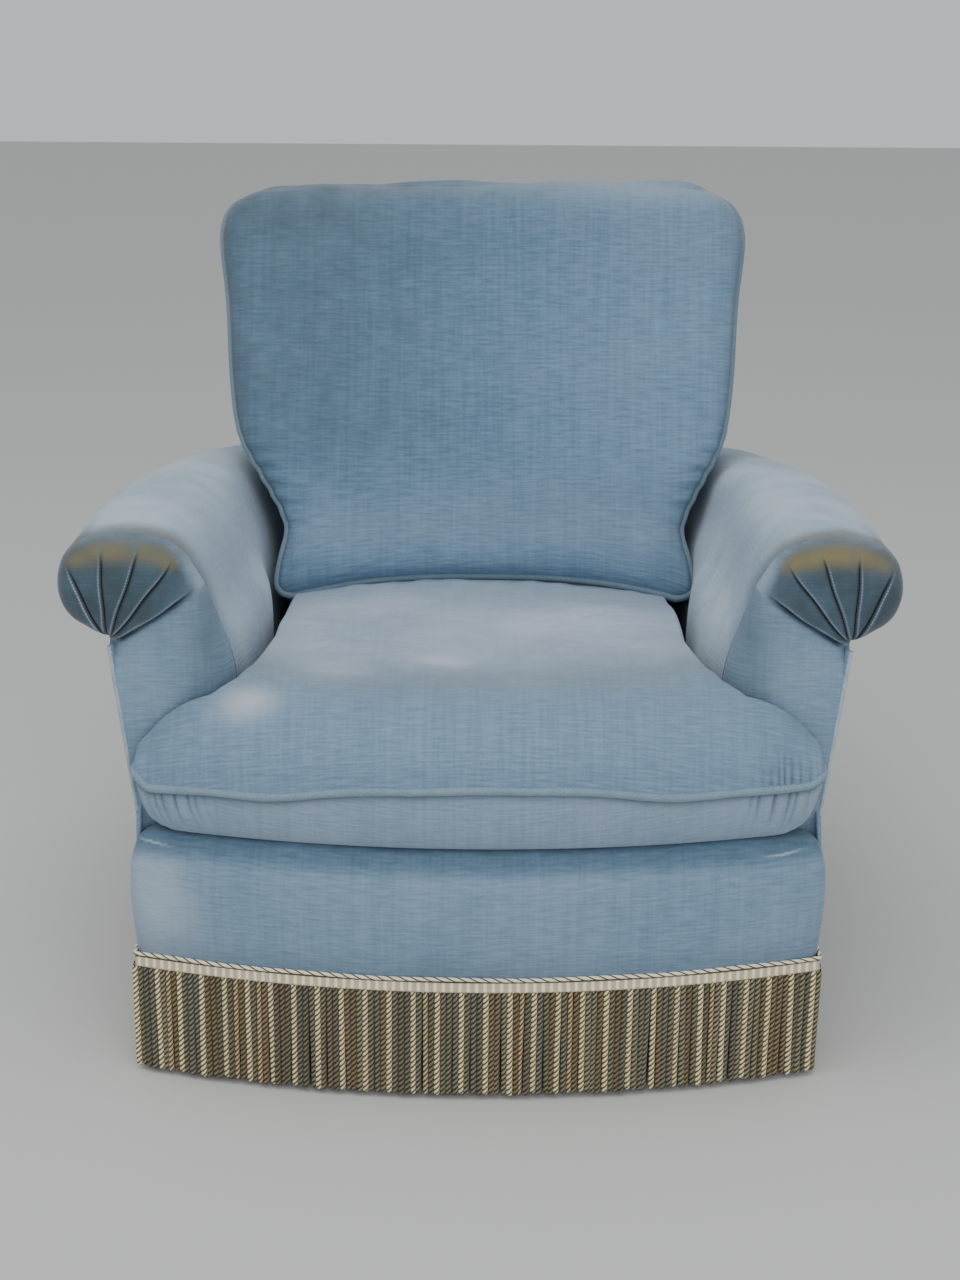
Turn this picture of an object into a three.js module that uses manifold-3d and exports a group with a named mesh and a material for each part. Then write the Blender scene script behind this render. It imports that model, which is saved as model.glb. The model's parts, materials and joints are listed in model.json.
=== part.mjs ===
// An upholstered easy chair with low scroll arms, a loose T-shaped seat cushion,
// a loose back cushion notched round the arms, and a bullion fringe at the foot.
// Millimetres. +Z is up, the chair faces -Y, and X is its line of symmetry.
// The origin is on the floor, in the middle of the chair's width and depth.
import * as THREE from 'three';
import { mergeVertices } from 'three/addons/utils/BufferGeometryUtils.js';
import Module from 'manifold-3d';

const wasm = await Module();
wasm.setup();

// ---------------------------------------------------------------- driving dimensions
const WIDTH = 866;             // over the two scrolls
const DEPTH = 880;             // fringe at the front to the top of the outside back
const HEIGHT = 880;            // floor to the crown of the back cushion
const GAP = 0.4;               // between pieces that touch

const BASE_HALF = 366;         // half the width of the upholstered base
const BOW = 54;                // how far the front swells forward of its corners
const FRONT = -DEPTH / 2;      // foremost point of the fringe and the seat cushion

const FEET_TOP = 139.6;        // underside of the seat frame
const RAIL_BOTTOM = 140;
const RAIL_TOP = 255;
const RAIL_THICK = 28;
const BASE_TOP = 294;          // ledge that the seat cushion lies on
const COVER_BOTTOM = 128;
const FRINGE_BOTTOM = 10;
const HEADING_TOP = 150;
const FRINGE_THICK = 7.6;

const ARM_INNER = 258;         // half the width between the arms
const ARM_FRONT = -347;        // plane of the arm fronts
const ARM_TOP = 600;
const SCROLL_OUTER = WIDTH / 2;
const PINCH_X = 382;           // where the pleats of the scroll gather
const PINCH_Z = 495;

const SEAT_HALF = 252;         // half the width of the seat cushion between the arms
const SEAT_EAR_HALF = 367;     // half its width in front of the arms
const SEAT_CROWN = 441;        // just behind the front edge, where the cushion is fullest
const SEAT_REAR_TOP = 425;     // under the back cushion
const SEAT_WELT_Z = 366;
const WELT_RADIUS = 4.5;

const DRAW_LENGTH = 735;       // the sides draw in and the arms sink over this length
const SIDE_DRAW_IN = 87;       // by how much the scroll has come in at the back
const ARM_DROP = 84;           // by how much the arm has sunk at the back

const BACK_HALF = 312;         // half the width of the back above the arms
const BACK_FRAME_TOP = 800;    // top of the back posts
const BACK_TOP = 815;          // top edge of the outside back
const BACK_REAR = 352;         // rear of the chair below the seat
const BACK_KINK = 300;         // height at which the back starts to lean

// ---------------------------------------------------------------- sloping planes of the back
const backLean = (DEPTH / 2 - BACK_REAR) / (BACK_TOP - BACK_KINK);
const above = (z) => Math.max(0, z - BACK_KINK);
const outsideBackY = (z) => BACK_REAR + backLean * above(z);
const postRearY = (z) => outsideBackY(z) - 5.5;
const postFrontY = (z) => postRearY(z) - (50 - 0.03 * above(z));
const insideBackY = (z) => 250 + 0.2957 * (z - 413);

// ---------------------------------------------------------------- helpers
const bowAt = (x) => BOW * (x / BASE_HALF) ** 2;

/** A closed mesh as a manifold solid, its shared vertices merged. */
function solidOf(geometry) {
  const bare = geometry.clone();
  bare.deleteAttribute('normal');
  bare.deleteAttribute('uv');
  const merged = mergeVertices(bare, 1e-4);
  return new wasm.Manifold(new wasm.Mesh({
    numProp: 3,
    vertProperties: new Float32Array(merged.attributes.position.array),
    triVerts: new Uint32Array(merged.index.array),
  }));
}

/** A manifold solid back as a three.js geometry. */
function geometryOf(solid) {
  const { vertProperties, triVerts } = solid.getMesh();
  const geometry = new THREE.BufferGeometry();
  geometry.setAttribute('position', new THREE.BufferAttribute(vertProperties, 3));
  geometry.setIndex(new THREE.BufferAttribute(triVerts, 1));
  geometry.computeVertexNormals();
  return geometry;
}

/** A shape from plain [u, v] corners. */
function outline(corners) {
  return new THREE.Shape(corners.map(([u, v]) => new THREE.Vector2(u, v)));
}

/** A shape whose corners [u, v, r] are rounded off over r on each side. */
function roundedOutline(corners) {
  const shape = new THREE.Shape();
  corners.forEach(([u, v, r], i) => {
    const corner = new THREE.Vector2(u, v);
    const [pu, pv] = corners[(i + corners.length - 1) % corners.length];
    const [nu, nv] = corners[(i + 1) % corners.length];
    const into = new THREE.Vector2(pu, pv).sub(corner).setLength(r).add(corner);
    const out = new THREE.Vector2(nu, nv).sub(corner).setLength(r).add(corner);
    if (i === 0) shape.moveTo(into.x, into.y);
    else shape.lineTo(into.x, into.y);
    if (r > 0) shape.quadraticCurveTo(corner.x, corner.y, out.x, out.y);
  });
  shape.closePath();
  return shape;
}

function extruded(shape, depth, curveSegments = 6) {
  return new THREE.ExtrudeGeometry(shape, { depth, curveSegments, bevelEnabled: false });
}

/** An x-z outline carried along Y from y0 to y1. */
function alongY(shape, y0, y1, curveSegments) {
  return solidOf(extruded(shape, y1 - y0, curveSegments).rotateX(Math.PI / 2).translate(0, y1, 0));
}

/** A y-z outline carried along X from x0 to x1. */
function alongX(shape, x0, x1, curveSegments) {
  const turn = new THREE.Matrix4().makeBasis(
    new THREE.Vector3(0, 1, 0), new THREE.Vector3(0, 0, 1), new THREE.Vector3(1, 0, 0));
  return solidOf(extruded(shape, x1 - x0, curveSegments).applyMatrix4(turn).translate(x0, 0, 0));
}

/** An x-y outline carried up from z0 to z1. */
function alongZ(shape, z0, z1, curveSegments) {
  return solidOf(extruded(shape, z1 - z0, curveSegments).translate(0, 0, z0));
}

function boxGeometry([x0, x1], [y0, y1], [z0, z1], lengths = 1) {
  const box = new THREE.BoxGeometry(x1 - x0, y1 - y0, z1 - z0, 1, lengths, 1);
  return box.translate((x0 + x1) / 2, (y0 + y1) / 2, (z0 + z1) / 2);
}

const block = (x, y, z) => solidOf(boxGeometry(x, y, z));

/**
 * The chair narrows and its arms sink towards the back. A point drawn on the front section
 * is brought in beyond the inner arm faces, and down above the ledge of the base, by
 * shares that grow along the arm.
 */
function drawnIn(x, y, z) {
  const along = THREE.MathUtils.clamp((y - ARM_FRONT) / DRAW_LENGTH, 0, 1);
  const narrow = 1 - SIDE_DRAW_IN / (SCROLL_OUTER - ARM_INNER) * along ** 2.7;
  const sink = 1 - ARM_DROP / (ARM_TOP - BASE_TOP) * along ** 1.7;
  const beyond = Math.max(0, Math.abs(x) - ARM_INNER);
  const over = Math.max(0, z - BASE_TOP);
  return [Math.sign(x) * (Math.abs(x) - beyond * (1 - narrow)), z - over * (1 - sink)];
}

function drawGeometryIn(geometry) {
  const point = geometry.attributes.position;
  for (let i = 0; i < point.count; i += 1) {
    const [x, z] = drawnIn(point.getX(i), point.getY(i), point.getZ(i));
    point.setX(i, x);
    point.setZ(i, z);
  }
  return geometry;
}

const LENGTHS = 14;            // straight lengths that a drawn-in side is made of

/** A front-section outline carried back along a side of the chair. */
function alongSide(shape, y0, y1, curveSegments = 2) {
  const straight = new THREE.ExtrudeGeometry(shape, {
    depth: y1 - y0, steps: LENGTHS, curveSegments, bevelEnabled: false,
  });
  return solidOf(drawGeometryIn(straight.rotateX(Math.PI / 2).translate(0, y1, 0)));
}

const sideBlock = (x, y, z) => solidOf(drawGeometryIn(boxGeometry(x, y, z, LENGTHS)));

/** The same span on the left (side -1) or right (side 1) of the chair. */
function span(side, near, far) {
  return side > 0 ? [near, far] : [-far, -near];
}

/** A plan shape between two bowed lines, at two distances behind the foremost one. */
function bowedPlan(half, fromFront, fromBack) {
  const edge = (inset) => FRONT + inset + bowAt(half);
  const pull = (inset) => 2 * (FRONT + inset) - edge(inset);
  const shape = new THREE.Shape();
  shape.moveTo(-half, edge(fromFront));
  shape.quadraticCurveTo(0, pull(fromFront), half, edge(fromFront));
  shape.lineTo(half, edge(fromBack));
  shape.quadraticCurveTo(0, pull(fromBack), -half, edge(fromBack));
  shape.closePath();
  return shape;
}

/** A round cord along a curve, with a few flat sides. */
function cordAlong(curve, radius, steps, sides = 5) {
  const section = new THREE.Shape();
  section.absarc(0, 0, radius, 0, 2 * Math.PI);
  return solidOf(new THREE.ExtrudeGeometry(section, {
    steps, curveSegments: sides / 2, extrudePath: curve, bevelEnabled: false,
  }));
}

/** A loop through points, left open by a hair so that its two ends don't touch. */
class AlmostClosed extends THREE.Curve {
  constructor(points, opening = 0.0012) {
    super();
    this.loop = new THREE.CatmullRomCurve3(points, true, 'centripetal');
    this.opening = opening;
  }

  getPoint(t, target) {
    return this.loop.getPointAt(this.opening / 2 + t * (1 - this.opening), target);
  }
}

// ---------------------------------------------------------------- materials
const finish = (color, roughness, metalness = 0) =>
  new THREE.MeshStandardMaterial({ color, roughness, metalness });

const VELVET = () => finish(0x7089a0, 0.95);
const VELVET_WORN = () => finish(0x8496a0, 0.95);
const PIPING = () => finish(0x8fa5b0, 0.95);
const FRINGE = () => finish(0x8b8468, 0.9);
const BEECH = () => finish(0xb98d5c, 0.7);
const STAINED = () => finish(0x4a2f1d, 0.55);
const STEEL = () => finish(0x7c7f82, 0.4, 1);
const JUTE = () => finish(0xa08a63, 0.95);
const LINING = () => finish(0x26262a, 0.95);

const chair = new THREE.Group();
const frame = new THREE.Group();
const springing = new THREE.Group();
const stuffing = new THREE.Group();
const covers = new THREE.Group();
chair.add(frame, springing, stuffing, covers);

function add(group, name, solid, material) {
  const mesh = new THREE.Mesh(geometryOf(solid), material);
  mesh.name = name;
  group.add(mesh);
  return solid;
}

const SIDES = [['left', -1], ['right', 1]];

// ---------------------------------------------------------------- timber frame
const RAIL_FRONT_INSET = 20.5;
const RAIL_BACK_INSET = RAIL_FRONT_INSET + RAIL_THICK;
const SIDE_RAIL_OUTER = 358;
const SIDE_RAIL_INNER = SIDE_RAIL_OUTER - RAIL_THICK;
const POST_INNER = 264;
const POST_OUTER = 296;
const ARM_RAIL_INNER = 332;
const ARM_RAIL_OUTER = 398;
const ARM_RAIL_BOTTOM = 524;
const ARM_RAIL_TOP = 548;
const ARM_RAIL_REAR = 370;
const FACING_BOARD_FRONT = -334;
const FACING_BOARD_BACK = -316;
const FRONT_POST_INNER = 322;
const FRONT_POST_OUTER = 360;
const FRONT_POST_BACK = -277;

/** A slice between two heights that follows the front of the back posts. */
function postSlice(z0, z1, thick) {
  return outline([
    [postFrontY(z0), z0], [postFrontY(z0) + thick, z0],
    [postFrontY(z1) + thick, z1], [postFrontY(z1), z1],
  ]);
}

add(frame, 'front_rail',
  alongZ(bowedPlan(SIDE_RAIL_OUTER, RAIL_FRONT_INSET, RAIL_BACK_INSET), RAIL_BOTTOM, RAIL_TOP, 10),
  BEECH());
add(frame, 'rear_rail',
  block([-POST_INNER + GAP, POST_INNER - GAP], [312, 340], [RAIL_BOTTOM, RAIL_TOP]), BEECH());
add(frame, 'back_lower_rail',
  alongX(postSlice(300, 345, RAIL_THICK), -POST_INNER + GAP, POST_INNER - GAP), BEECH());
add(frame, 'back_top_rail',
  alongX(postSlice(745, BACK_FRAME_TOP, RAIL_THICK), -POST_INNER + GAP, POST_INNER - GAP), BEECH());

const sideRailFront = FRONT + RAIL_BACK_INSET + bowAt(SIDE_RAIL_OUTER) + GAP;
const postFoot = postFrontY(RAIL_BOTTOM);
const rearPost = outline([
  [postFoot, RAIL_BOTTOM], [postRearY(RAIL_BOTTOM), RAIL_BOTTOM],
  [postRearY(BACK_KINK), BACK_KINK], [postRearY(BACK_FRAME_TOP), BACK_FRAME_TOP],
  [postFrontY(BACK_FRAME_TOP), BACK_FRAME_TOP], [postFrontY(BACK_KINK), BACK_KINK],
]);

/** The board that closes the front of an arm: the arm's outline, a little smaller. */
function facingBoard(side) {
  return outline([
    [272, 300], [272, 430], [284, 500], [306, 560], [325, 578], [350, 586], [385, 585],
    [408, 575], [419, 550], [414, 528], [404, 514], [384, 508], [370, 490], [358, 300],
  ].map(([x, z]) => [side * x, z]));
}

for (const [name, side] of SIDES) {
  add(frame, `${name}_side_rail`,
    sideBlock(span(side, SIDE_RAIL_INNER, SIDE_RAIL_OUTER), [sideRailFront, postRearY(RAIL_TOP)],
      [RAIL_BOTTOM, RAIL_TOP]), BEECH());
  add(frame, `${name}_rear_post`, alongX(rearPost, ...span(side, POST_INNER, POST_OUTER)), BEECH());
  add(frame, `${name}_front_post`,
    block(span(side, FRONT_POST_INNER, FRONT_POST_OUTER), [FACING_BOARD_BACK + GAP, FRONT_POST_BACK],
      [RAIL_TOP + GAP, ARM_RAIL_BOTTOM - 3]), BEECH());
  add(frame, `${name}_arm_rail`,
    sideBlock(span(side, ARM_RAIL_INNER, ARM_RAIL_OUTER), [FACING_BOARD_BACK + GAP, ARM_RAIL_REAR],
      [ARM_RAIL_BOTTOM, ARM_RAIL_TOP]), BEECH());
  add(frame, `${name}_facing_board`,
    alongY(facingBoard(side), FACING_BOARD_FRONT, FACING_BOARD_BACK), BEECH());
}

// Corner blocks, glued and screwed inside the corners of the seat frame.
const BLOCK_BOTTOM = 165;
const BLOCK_TOP = 225;
const blockOuter = SIDE_RAIL_INNER - GAP;
const FLAT_SIDED = 0.7;        // how far a bow drawn in flats stands off its true curve
const railBackAt = (x) => FRONT + RAIL_BACK_INSET + bowAt(x) + GAP + FLAT_SIDED;
for (const [name, side] of SIDES) {
  const front = outline([
    [side * blockOuter, railBackAt(blockOuter)], [side * blockOuter, -270],
    [side * 255, railBackAt(255)],
  ]);
  const rear = outline([
    [side * 300, postFoot - GAP], [side * 307, 222], [side * 236, postFoot - GAP],
  ]);
  add(frame, `${name}_front_corner_block`, alongZ(front, BLOCK_BOTTOM, BLOCK_TOP), BEECH());
  add(frame, `${name}_rear_corner_block`, alongZ(rear, BLOCK_BOTTOM, BLOCK_TOP), BEECH());
}

// Turned feet, screwed up into the corners of the frame.
const FRONT_FOOT = { x: 325, y: -345 };
const REAR_FOOT = { x: 285, y: 318 };
const footProfile = [[0, 0], [15, 0], [17, 3], [21, 70], [22, 118], [27, 124], [27, 134], [24, 139.6], [0, 139.6]]
  .map(([r, z]) => new THREE.Vector2(r, Math.min(z, FEET_TOP)));
const footAt = (x, y) =>
  solidOf(new THREE.LatheGeometry(footProfile, 16).rotateX(Math.PI / 2).translate(x, y, 0));
for (const [name, side] of SIDES) {
  add(frame, `${name}_front_foot`, footAt(side * FRONT_FOOT.x, FRONT_FOOT.y), STAINED());
  add(frame, `${name}_rear_foot`, footAt(side * REAR_FOOT.x, REAR_FOOT.y), STAINED());
}

// ---------------------------------------------------------------- webbing, springs and linings
const WEB_WIDTH = 50;
const WEB_THICK = 2.2;
const webTop = RAIL_BOTTOM - GAP;

/** Straps laid both ways and joined where they cross. */
function lattice(strapsOne, strapsTwo) {
  return [...strapsOne, ...strapsTwo].reduce((whole, strap) => whole.add(strap));
}

/** The space inside a line drawn at this half width round the plan of the seat frame. */
const insideRails = (half) => sideBlock([-half, half], [FRONT, BACK_REAR - 10], [0, HEIGHT / 3]);

const SEAT_STRAPS_X = [-190, -95, 0, 95, 190];
const SEAT_STRAPS_Y = [-230, -140, -50, 40, 130, 220];
const halfWeb = WEB_WIDTH / 2;
add(springing, 'seat_webbing', lattice(
  SEAT_STRAPS_X.map((x) => block([x - halfWeb, x + halfWeb], [-400, 335], [webTop - WEB_THICK, webTop])),
  SEAT_STRAPS_Y.map((y) => block([-350, 350], [y - halfWeb, y + halfWeb], [webTop - WEB_THICK, webTop])),
).intersect(insideRails(350)), JUTE());

/** A double-cone spring: wide at both ends and narrow at the waist. */
class Coil extends THREE.Curve {
  constructor(x, y, z0, z1) {
    super();
    Object.assign(this, { x, y, z0, z1 });
  }

  getPoint(t, target = new THREE.Vector3()) {
    const turn = 2 * Math.PI * SPRING_TURNS * t;
    const radius = SPRING_WAIST + (SPRING_END - SPRING_WAIST) * (2 * t - 1) ** 2;
    return target.set(
      this.x + radius * Math.cos(turn), this.y + radius * Math.sin(turn),
      this.z0 + (this.z1 - this.z0) * t);
  }
}

const SPRING_TURNS = 4;
const SPRING_END = 40;
const SPRING_WAIST = 28;
const WIRE_RADIUS = 2;
const springFoot = RAIL_BOTTOM + WIRE_RADIUS + 0.6;
const springHead = RAIL_TOP - WIRE_RADIUS - 0.6;
[-230, -50, 130].forEach((y, row) => {
  [-190, 0, 190].forEach((x, column) => {
    add(springing, `seat_spring_${3 * row + column + 1}`,
      cordAlong(new Coil(x, y, springFoot, springHead), WIRE_RADIUS, 36), STEEL());
  });
});

const EDGE_BACK_INSET = 60;    // depth of the padded edge that the cushion's ears lie on
const clothTop = RAIL_TOP + GAP + 2;
const frontPostHoles = SIDES.map(([, side]) => block(
  span(side, FRONT_POST_INNER - 1, FRONT_POST_OUTER + 1),
  [FACING_BOARD_BACK - 1, FRONT_POST_BACK + 1], [RAIL_TOP - 5, RAIL_TOP + 15]));
const hessian = alongZ(bowedPlan(350, EDGE_BACK_INSET + 1, EDGE_BACK_INSET + 700), RAIL_TOP + GAP, clothTop, 10)
  .intersect(block([-350, 350], [-400, postFoot - GAP], [RAIL_TOP, RAIL_TOP + 10]))
  .intersect(insideRails(350));
add(springing, 'spring_hessian', frontPostHoles.reduce((cloth, hole) => cloth.subtract(hole), hessian), JUTE());

const BACK_STRAPS_X = [-180, -90, 0, 90, 180];
const BACK_STRAPS_Z = [380, 470, 560, 650, 740];
const backWebSlice = (z0, z1) => outline([
  [postFrontY(z0) - GAP - WEB_THICK, z0], [postFrontY(z0) - GAP, z0],
  [postFrontY(z1) - GAP, z1], [postFrontY(z1) - GAP - WEB_THICK, z1],
]);
add(springing, 'back_webbing', lattice(
  BACK_STRAPS_X.map((x) => alongX(backWebSlice(305, 795), x - halfWeb, x + halfWeb)),
  BACK_STRAPS_Z.map((z) => alongX(backWebSlice(z - halfWeb, z + halfWeb), -POST_OUTER, POST_OUTER)),
), JUTE());

const FOOT_HOLE_HALF = 28;
const footHoles = [FRONT_FOOT, REAR_FOOT].flatMap(({ x, y }) => SIDES.map(([, side]) => block(
  span(side, x - FOOT_HOLE_HALF, x + FOOT_HOLE_HALF), [y - FOOT_HOLE_HALF, y + FOOT_HOLE_HALF],
  [COVER_BOTTOM, RAIL_BOTTOM])));
const liningTop = webTop - WEB_THICK - GAP;
const liningPlan = alongZ(bowedPlan(352, 24, 800), liningTop - 1.2, liningTop, 10)
  .intersect(insideRails(352));
add(springing, 'bottom_lining', footHoles.reduce((cloth, hole) => cloth.subtract(hole), liningPlan), LINING());

// ---------------------------------------------------------------- fixed upholstery
// Base front: a padded cover down the bowed rail, with a rolled edge on top of it.
add(covers, 'base_front',
  alongZ(bowedPlan(BASE_HALF, 8, 20), COVER_BOTTOM, BASE_TOP, 12)
    .add(alongZ(bowedPlan(BASE_HALF - 6, 9, EDGE_BACK_INSET), RAIL_TOP + GAP, BASE_TOP, 12)),
  VELVET());

const DECK_REAR = 202;
add(stuffing, 'seat_deck',
  alongZ(bowedPlan(ARM_INNER - GAP, EDGE_BACK_INSET + GAP, EDGE_BACK_INSET + 700), clothTop + GAP, BASE_TOP, 10)
    .intersect(block([-400, 400], [-400, DECK_REAR], [RAIL_TOP, BASE_TOP])),
  JUTE());

const SCROLL = [
  [266, 480], [280, 530], [297, 567], [320, 591], [352, ARM_TOP], [385, 599],
  [412, 589], [428, 572], [SCROLL_OUTER, 552], [429, 525], [410, 502], [PINCH_X, PINCH_Z],
];
const SCROLL_EYE = new THREE.Vector2(360, 545);

/** The front-view outline of one arm, from the inner face over the scroll to the pinch. */
function armOutline(side, bottom, grow = 0) {
  const shape = new THREE.Shape();
  shape.moveTo(side * (ARM_INNER - grow), bottom);
  shape.lineTo(side * (ARM_INNER - grow), 430);
  shape.splineThru(SCROLL.map(([x, z]) => {
    const out = new THREE.Vector2(x, z).sub(SCROLL_EYE).setLength(grow);
    return new THREE.Vector2(side * (x + out.x), z + out.y);
  }));
  return shape;
}

/** The whole room that an arm takes up, a little larger than the arm. */
function armSpace(side) {
  const shape = armOutline(side, BASE_TOP - 60, 1.5);
  shape.lineTo(side * PINCH_X, BASE_TOP - 60);
  return alongSide(shape, FACING_BOARD_FRONT, 445);
}

const HOLLOW_INNER = 292;      // the pad is hollow behind this, round the frame of the arm
const HOLLOW_OUTER = 376.5;
function armPadOutline(side) {
  const shape = armOutline(side, RAIL_TOP + 7.5);
  const line = (x, z) => shape.lineTo(side * x, z);
  line(HOLLOW_OUTER, PINCH_Z + 5);
  line(HOLLOW_OUTER, ARM_RAIL_BOTTOM - 1);
  line(ARM_RAIL_OUTER + 1, ARM_RAIL_BOTTOM - 1);
  line(ARM_RAIL_OUTER + 1, ARM_RAIL_TOP + 1);
  line(ARM_RAIL_INNER - 1, ARM_RAIL_TOP + 1);
  line(ARM_RAIL_INNER - 1, ARM_RAIL_BOTTOM - 1);
  line(HOLLOW_INNER, ARM_RAIL_BOTTOM - 1);
  line(HOLLOW_INNER, RAIL_TOP + 7.5);
  return shape;
}

/** Everything that a padded arm must stay in front of: the outside back's inner plane. */
const behindBack = (offset) => outline([
  [outsideBackY(0) - offset, 0], [outsideBackY(BACK_KINK) - offset, BACK_KINK],
  [outsideBackY(HEIGHT) - offset, HEIGHT], [800, HEIGHT], [800, 0],
]);
const behindPosts = outline([
  [postFrontY(0) - 4, 0], [postFrontY(BACK_KINK) - 4, BACK_KINK],
  [postFrontY(HEIGHT) - 4, HEIGHT], [800, HEIGHT], [800, 0],
]);

/** Room for the facing board, with a little play round its edges. */
function boardRoom(side) {
  const board = alongY(facingBoard(side), FACING_BOARD_FRONT - 2, FACING_BOARD_BACK + GAP);
  return board.add(board.translate(side * GAP, 0, GAP)).add(board.translate(-side * GAP, 0, -GAP));
}

for (const [name, side] of SIDES) {
  const pad = alongSide(armPadOutline(side), FACING_BOARD_FRONT, 430)
    .subtract(boardRoom(side))
    .subtract(alongX(behindBack(6), ...span(side, 200, 500)))
    .subtract(alongX(behindPosts, ...span(side, 200, POST_OUTER + GAP)))
    .subtract(block(span(side, 200, 400), [-400, FRONT + EDGE_BACK_INSET + BOW + GAP], [200, BASE_TOP + GAP]));
  add(stuffing, `${name}_arm`, pad, VELVET_WORN());

  const face = armOutline(side, BASE_TOP + GAP);
  face.lineTo(side * (BASE_HALF + 1), BASE_TOP + GAP);
  add(covers, `${name}_arm_front`, alongY(face, ARM_FRONT, FACING_BOARD_FRONT - GAP, 2), VELVET());

  // Outside arm: upright beside the base, then leaning out to meet the scroll.
  const section = outline([
    [361, COVER_BOTTOM], [BASE_HALF, COVER_BOTTOM], [BASE_HALF, BASE_TOP],
    [PINCH_X - 0.5, PINCH_Z - 3], [PINCH_X - 5.5, PINCH_Z - 3], [361, BASE_TOP],
  ].map(([x, z]) => [side * x, z]));
  const baseCornerY = FRONT + 20 + bowAt(BASE_HALF) + GAP;
  const sideView = outline([
    [baseCornerY, COVER_BOTTOM], [outsideBackY(0) - 5.5, COVER_BOTTOM],
    [outsideBackY(0) - 5.5, BACK_KINK], [outsideBackY(PINCH_Z) - 5.5, PINCH_Z],
    [FACING_BOARD_FRONT, PINCH_Z], [FACING_BOARD_FRONT, BASE_TOP + GAP], [baseCornerY, BASE_TOP + GAP],
  ]);
  add(covers, `${name}_outside_arm`,
    alongSide(section, -420, 430).intersect(alongX(sideView, ...span(side, 260, 420))), VELVET());
}

// Inside back: the pad between the arms and over the top rail.
const insideBackSide = outline([
  [insideBackY(262.5), 262.5], [insideBackY(BACK_TOP - 3), BACK_TOP - 3],
  [insideBackY(BACK_TOP) + 14, BACK_TOP + 8], [405, BACK_TOP + 11], [428, BACK_TOP + 6],
  [outsideBackY(BACK_FRAME_TOP + GAP) - 6, BACK_FRAME_TOP + GAP],
  [postFrontY(BACK_FRAME_TOP) - 3.4, BACK_FRAME_TOP + GAP],
  [postFrontY(BACK_KINK) - 3.4, BACK_KINK], [postFrontY(262.5) - 3.4, 262.5],
]);
const backWrapSide = outline([
  [insideBackY(420), 420], [insideBackY(BACK_TOP - 3), BACK_TOP - 3],
  [outsideBackY(BACK_TOP - 3) - 6, BACK_TOP - 3], [outsideBackY(420) - 6, 420],
]);
const insideBack = SIDES.reduce(
  (pad, [, side]) => pad.add(alongX(backWrapSide, ...span(side, POST_OUTER + GAP, BACK_HALF))),
  alongX(insideBackSide, -BACK_HALF, BACK_HALF));
add(stuffing, 'inside_back',
  SIDES.reduce((pad, [, side]) => pad.subtract(armSpace(side)), insideBack), VELVET());

const bothSides = (half) => [...half, ...half.map(([x, z]) => [-x, z]).reverse()];

// Outside back: one flat panel, wide across the arm ends and narrower above them.
const armEnd = [[BASE_HALF, COVER_BOTTOM], [BASE_HALF, BASE_TOP], ...SCROLL.slice(5).reverse()]
  .map(([x, z]) => drawnIn(x, outsideBackY(z), z));
const outsideBackHalf = [
  ...armEnd, [BACK_HALF + 3, 521], [BACK_HALF, 528], [BACK_HALF, 790], [302, 808], [286, BACK_TOP],
];
const panelSide = outline([
  [BACK_REAR - 5, 100], [BACK_REAR, 100], [BACK_REAR, BACK_KINK], [DEPTH / 2, BACK_TOP],
  [DEPTH / 2 - 5, BACK_TOP], [BACK_REAR - 5, BACK_KINK],
]);
add(covers, 'outside_back',
  alongX(panelSide, -450, 450).intersect(alongY(outline(bothSides(outsideBackHalf)), 300, 500)),
  VELVET());

// ---------------------------------------------------------------- loose cushions
/** Plan of the seat cushion, drawn inset from its widest line. */
function seatPlan(inset) {
  const half = SEAT_HALF - inset;
  const ear = SEAT_EAR_HALF - inset;
  const rear = 222 - inset;
  const neck = ARM_FRONT - 5 - inset;
  const frontAt = (x) => FRONT + inset + bowAt(x);
  const bow = [0.7, 0.35, 0, -0.35, -0.7].map((share) => [share * ear, frontAt(share * ear), 0]);
  return roundedOutline([
    [-half, rear, 30], [-half, neck, 12], [-ear, neck, 8], [-ear, frontAt(ear) - 2, 11],
    ...bow.reverse(),
    [ear, frontAt(ear) - 2, 11], [ear, neck, 8], [half, neck, 12], [half, rear, 30],
  ]);
}

const WELT_STEPS = 90;
const WELT_CLEAR = 1.2;         // play between the piping and the groove that it lies in
const weltPoints = (shape, lift) => shape.getPoints(4).slice(0, -1).map((p) => lift(p.x, p.y));
const seatLoop = new AlmostClosed(
  weltPoints(seatPlan(WELT_RADIUS + 0.3), (x, y) => new THREE.Vector3(x, y, SEAT_WELT_Z)));
const seatWelt = cordAlong(seatLoop, WELT_RADIUS, WELT_STEPS);
const seatCrownSide = outline([
  [FRONT - 5, BASE_TOP + 1], [FRONT - 5, 378], [-415, 404], [-385, 425], [-340, 438],
  [-280, SEAT_CROWN], [-150, 437], [40, SEAT_REAR_TOP], [110, SEAT_REAR_TOP], [240, 405],
  [240, BASE_TOP + 1],
]);
add(covers, 'seat_cushion',
  alongZ(seatPlan(WELT_RADIUS + 4), BASE_TOP + 1, SEAT_CROWN + 1, 5)
    .intersect(alongX(seatCrownSide, -400, 400))
    .subtract(cordAlong(seatLoop, WELT_RADIUS + WELT_CLEAR, WELT_STEPS)),
  VELVET_WORN());
add(covers, 'seat_welt', seatWelt, PIPING());

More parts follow.
